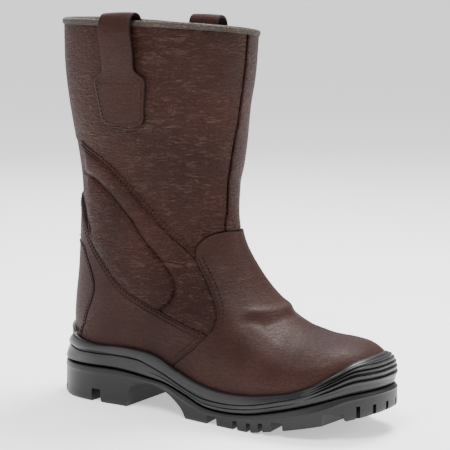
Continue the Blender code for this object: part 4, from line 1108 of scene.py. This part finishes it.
# Rows along the seams, in millimetres: the seam, its rows' places beside it, and how high they lie.
SEWN = (
    (SHAFT_EDGE[16:], (2.2, 5.4), 0.25), (PANEL_FRONT[:-4], (2.2, 5.4), 1.85),
    (QUARTER_EDGE[2:-14], (2.2, 5.2), 1.45), (SIDE_SEAM[1:-8], (-2.0, -5.0), 1.4),
    (COUNTER_EDGE[9:-8], (-2.0,), 1.9),
)
STITCH_PITCH, STITCH_LENGTH, STITCH_RADIUS = 0.0033, 0.0023, 0.00042
HOLE_LENGTH, HOLE_RADIUS, HOLE_POINTS = 0.0009, 0.00055, 400
threads, holes = [], []
for line, distances, stand in SEWN:
    for distance in distances:
        moved = offset_line(line, distance)
        run = lengths(moved)
        for side in (-1, 1):
            threads.append(surface_points(moved, side, np.full(len(moved), stand)))
            dense = np.linspace(run[0] + STITCH_PITCH / 2, run[-1], HOLE_POINTS)
            shifted = np.stack([np.interp(dense, run, moved[:, k]) for k in range(2)], axis=1)
            holes.append(surface_points(shifted, side, np.full(HOLE_POINTS, stand - 0.15)))
row("seam_stitches", threads, STITCH_PITCH, STITCH_LENGTH, STITCH_RADIUS, THREAD)
row("seam_needle_holes", holes, STITCH_PITCH, HOLE_LENGTH, HOLE_RADIUS, HOLE_SHADE)
PATCH_SIDE = ((-13.4, 271.0), (-21.8, 266.0), (-21.3, 258.0), (-19.2, 246.0), (-18.2, 239.0), (-15.5, 235.6),
              (-10.0, 234.6))
patch = np.array(PATCH_SIDE + tuple((-a, b) for a, b in PATCH_SIDE[::-1])) * MM
top_row = np.linspace((-19.0 * MM, 264.8 * MM), (19.0 * MM, 264.8 * MM), 20)
threads = []
for _, side, along, _, _ in STRAPS:
    for part in (patch, top_row):
        x, z = fine_line(part, 120).T
        x = x + along
        threads.append(np.stack([x, side * (half_width(x, z, side) + 3.0 * MM), z], axis=1))
row("strap_stitches", threads, STITCH_PITCH, STITCH_LENGTH, STITCH_RADIUS, THREAD)


# The floor, the light and the camera: a white table, soft boxes round it, and the view of a
# lens at about the height of the collar.
material, tree, shader, place = new_finish("white_table", Roughness=0.8, Specular_IOR_Level=0.2,
                                           Emission_Strength=0.60)
shader.inputs["Emission Color"].default_value = (1.0, 1.0, 1.0, 1.0)
feed(tree, shader, Base_Color=noise(place, 3.0).blend((0.93, 0.93, 0.93, 1.0), (0.95, 0.95, 0.95, 1.0)))
mesh = bpy.data.meshes.new("table_top")
reach = (-900.0, -3.0, 3.0, 900.0)
mesh.from_pydata([(x, y, 0.0) for y in reach for x in reach], [],
                 [(i, i + 1, i + 5, i + 4) for i in range(11) if i % 4 < 3])
mesh.materials.append(material)
table_top = add_object("table_top", mesh)

world = bpy.data.worlds.new("studio")
world.use_nodes = True
world.node_tree.nodes["Background"].inputs["Color"].default_value = (1.0, 1.0, 1.0, 1.0)
world.node_tree.nodes["Background"].inputs["Strength"].default_value = 0.74
bpy.context.scene.world = world


def soft_box(name, place, aim, size, power):
    """A square soft light aimed at a point."""
    lamp = bpy.data.lights.new(name, "AREA")
    lamp.shape, lamp.size, lamp.energy = "SQUARE", size, power
    box = add_object(name, lamp)
    box.location = place
    box.rotation_euler = (Vector(aim) - Vector(place)).to_track_quat("-Z", "Y").to_euler()


soft_box("key_light", (0.15, -0.75, 1.5), (0.0, 0.0, 0.12), 0.70, 26.0)
soft_box("top_light", (0.05, 0.55, 1.5), (0.03, 0.0, 0.10), 0.60, 42.0)
soft_box("side_light", (1.5, 0.5, 0.8), (0.05, 0.0, 0.12), 0.8, 12.0)
soft_box("back_light", (-1.2, 0.9, 1.0), (0.0, 0.0, 0.15), 0.8, 8.0)

AZIMUTH, PITCH, DISTANCE = math.radians(33.15), math.radians(8.285), 1.250
PICTURE_WIDTH, FOCAL_LENGTH = 450.0, 1548.38
AIM = (0.15541, 0.0, 0.15153)
back = Vector((math.sin(AZIMUTH) * math.cos(PITCH), -math.cos(AZIMUTH) * math.cos(PITCH), math.sin(PITCH)))
target = Vector(AIM + HOME)
lens = bpy.data.cameras.new("camera")
lens.sensor_width = 36.0
lens.lens = FOCAL_LENGTH / PICTURE_WIDTH * lens.sensor_width
camera = add_object("camera", lens)
camera.location = target + back * DISTANCE
camera.rotation_euler = back.to_track_quat("Z", "Y").to_euler()
bpy.context.scene.camera = camera
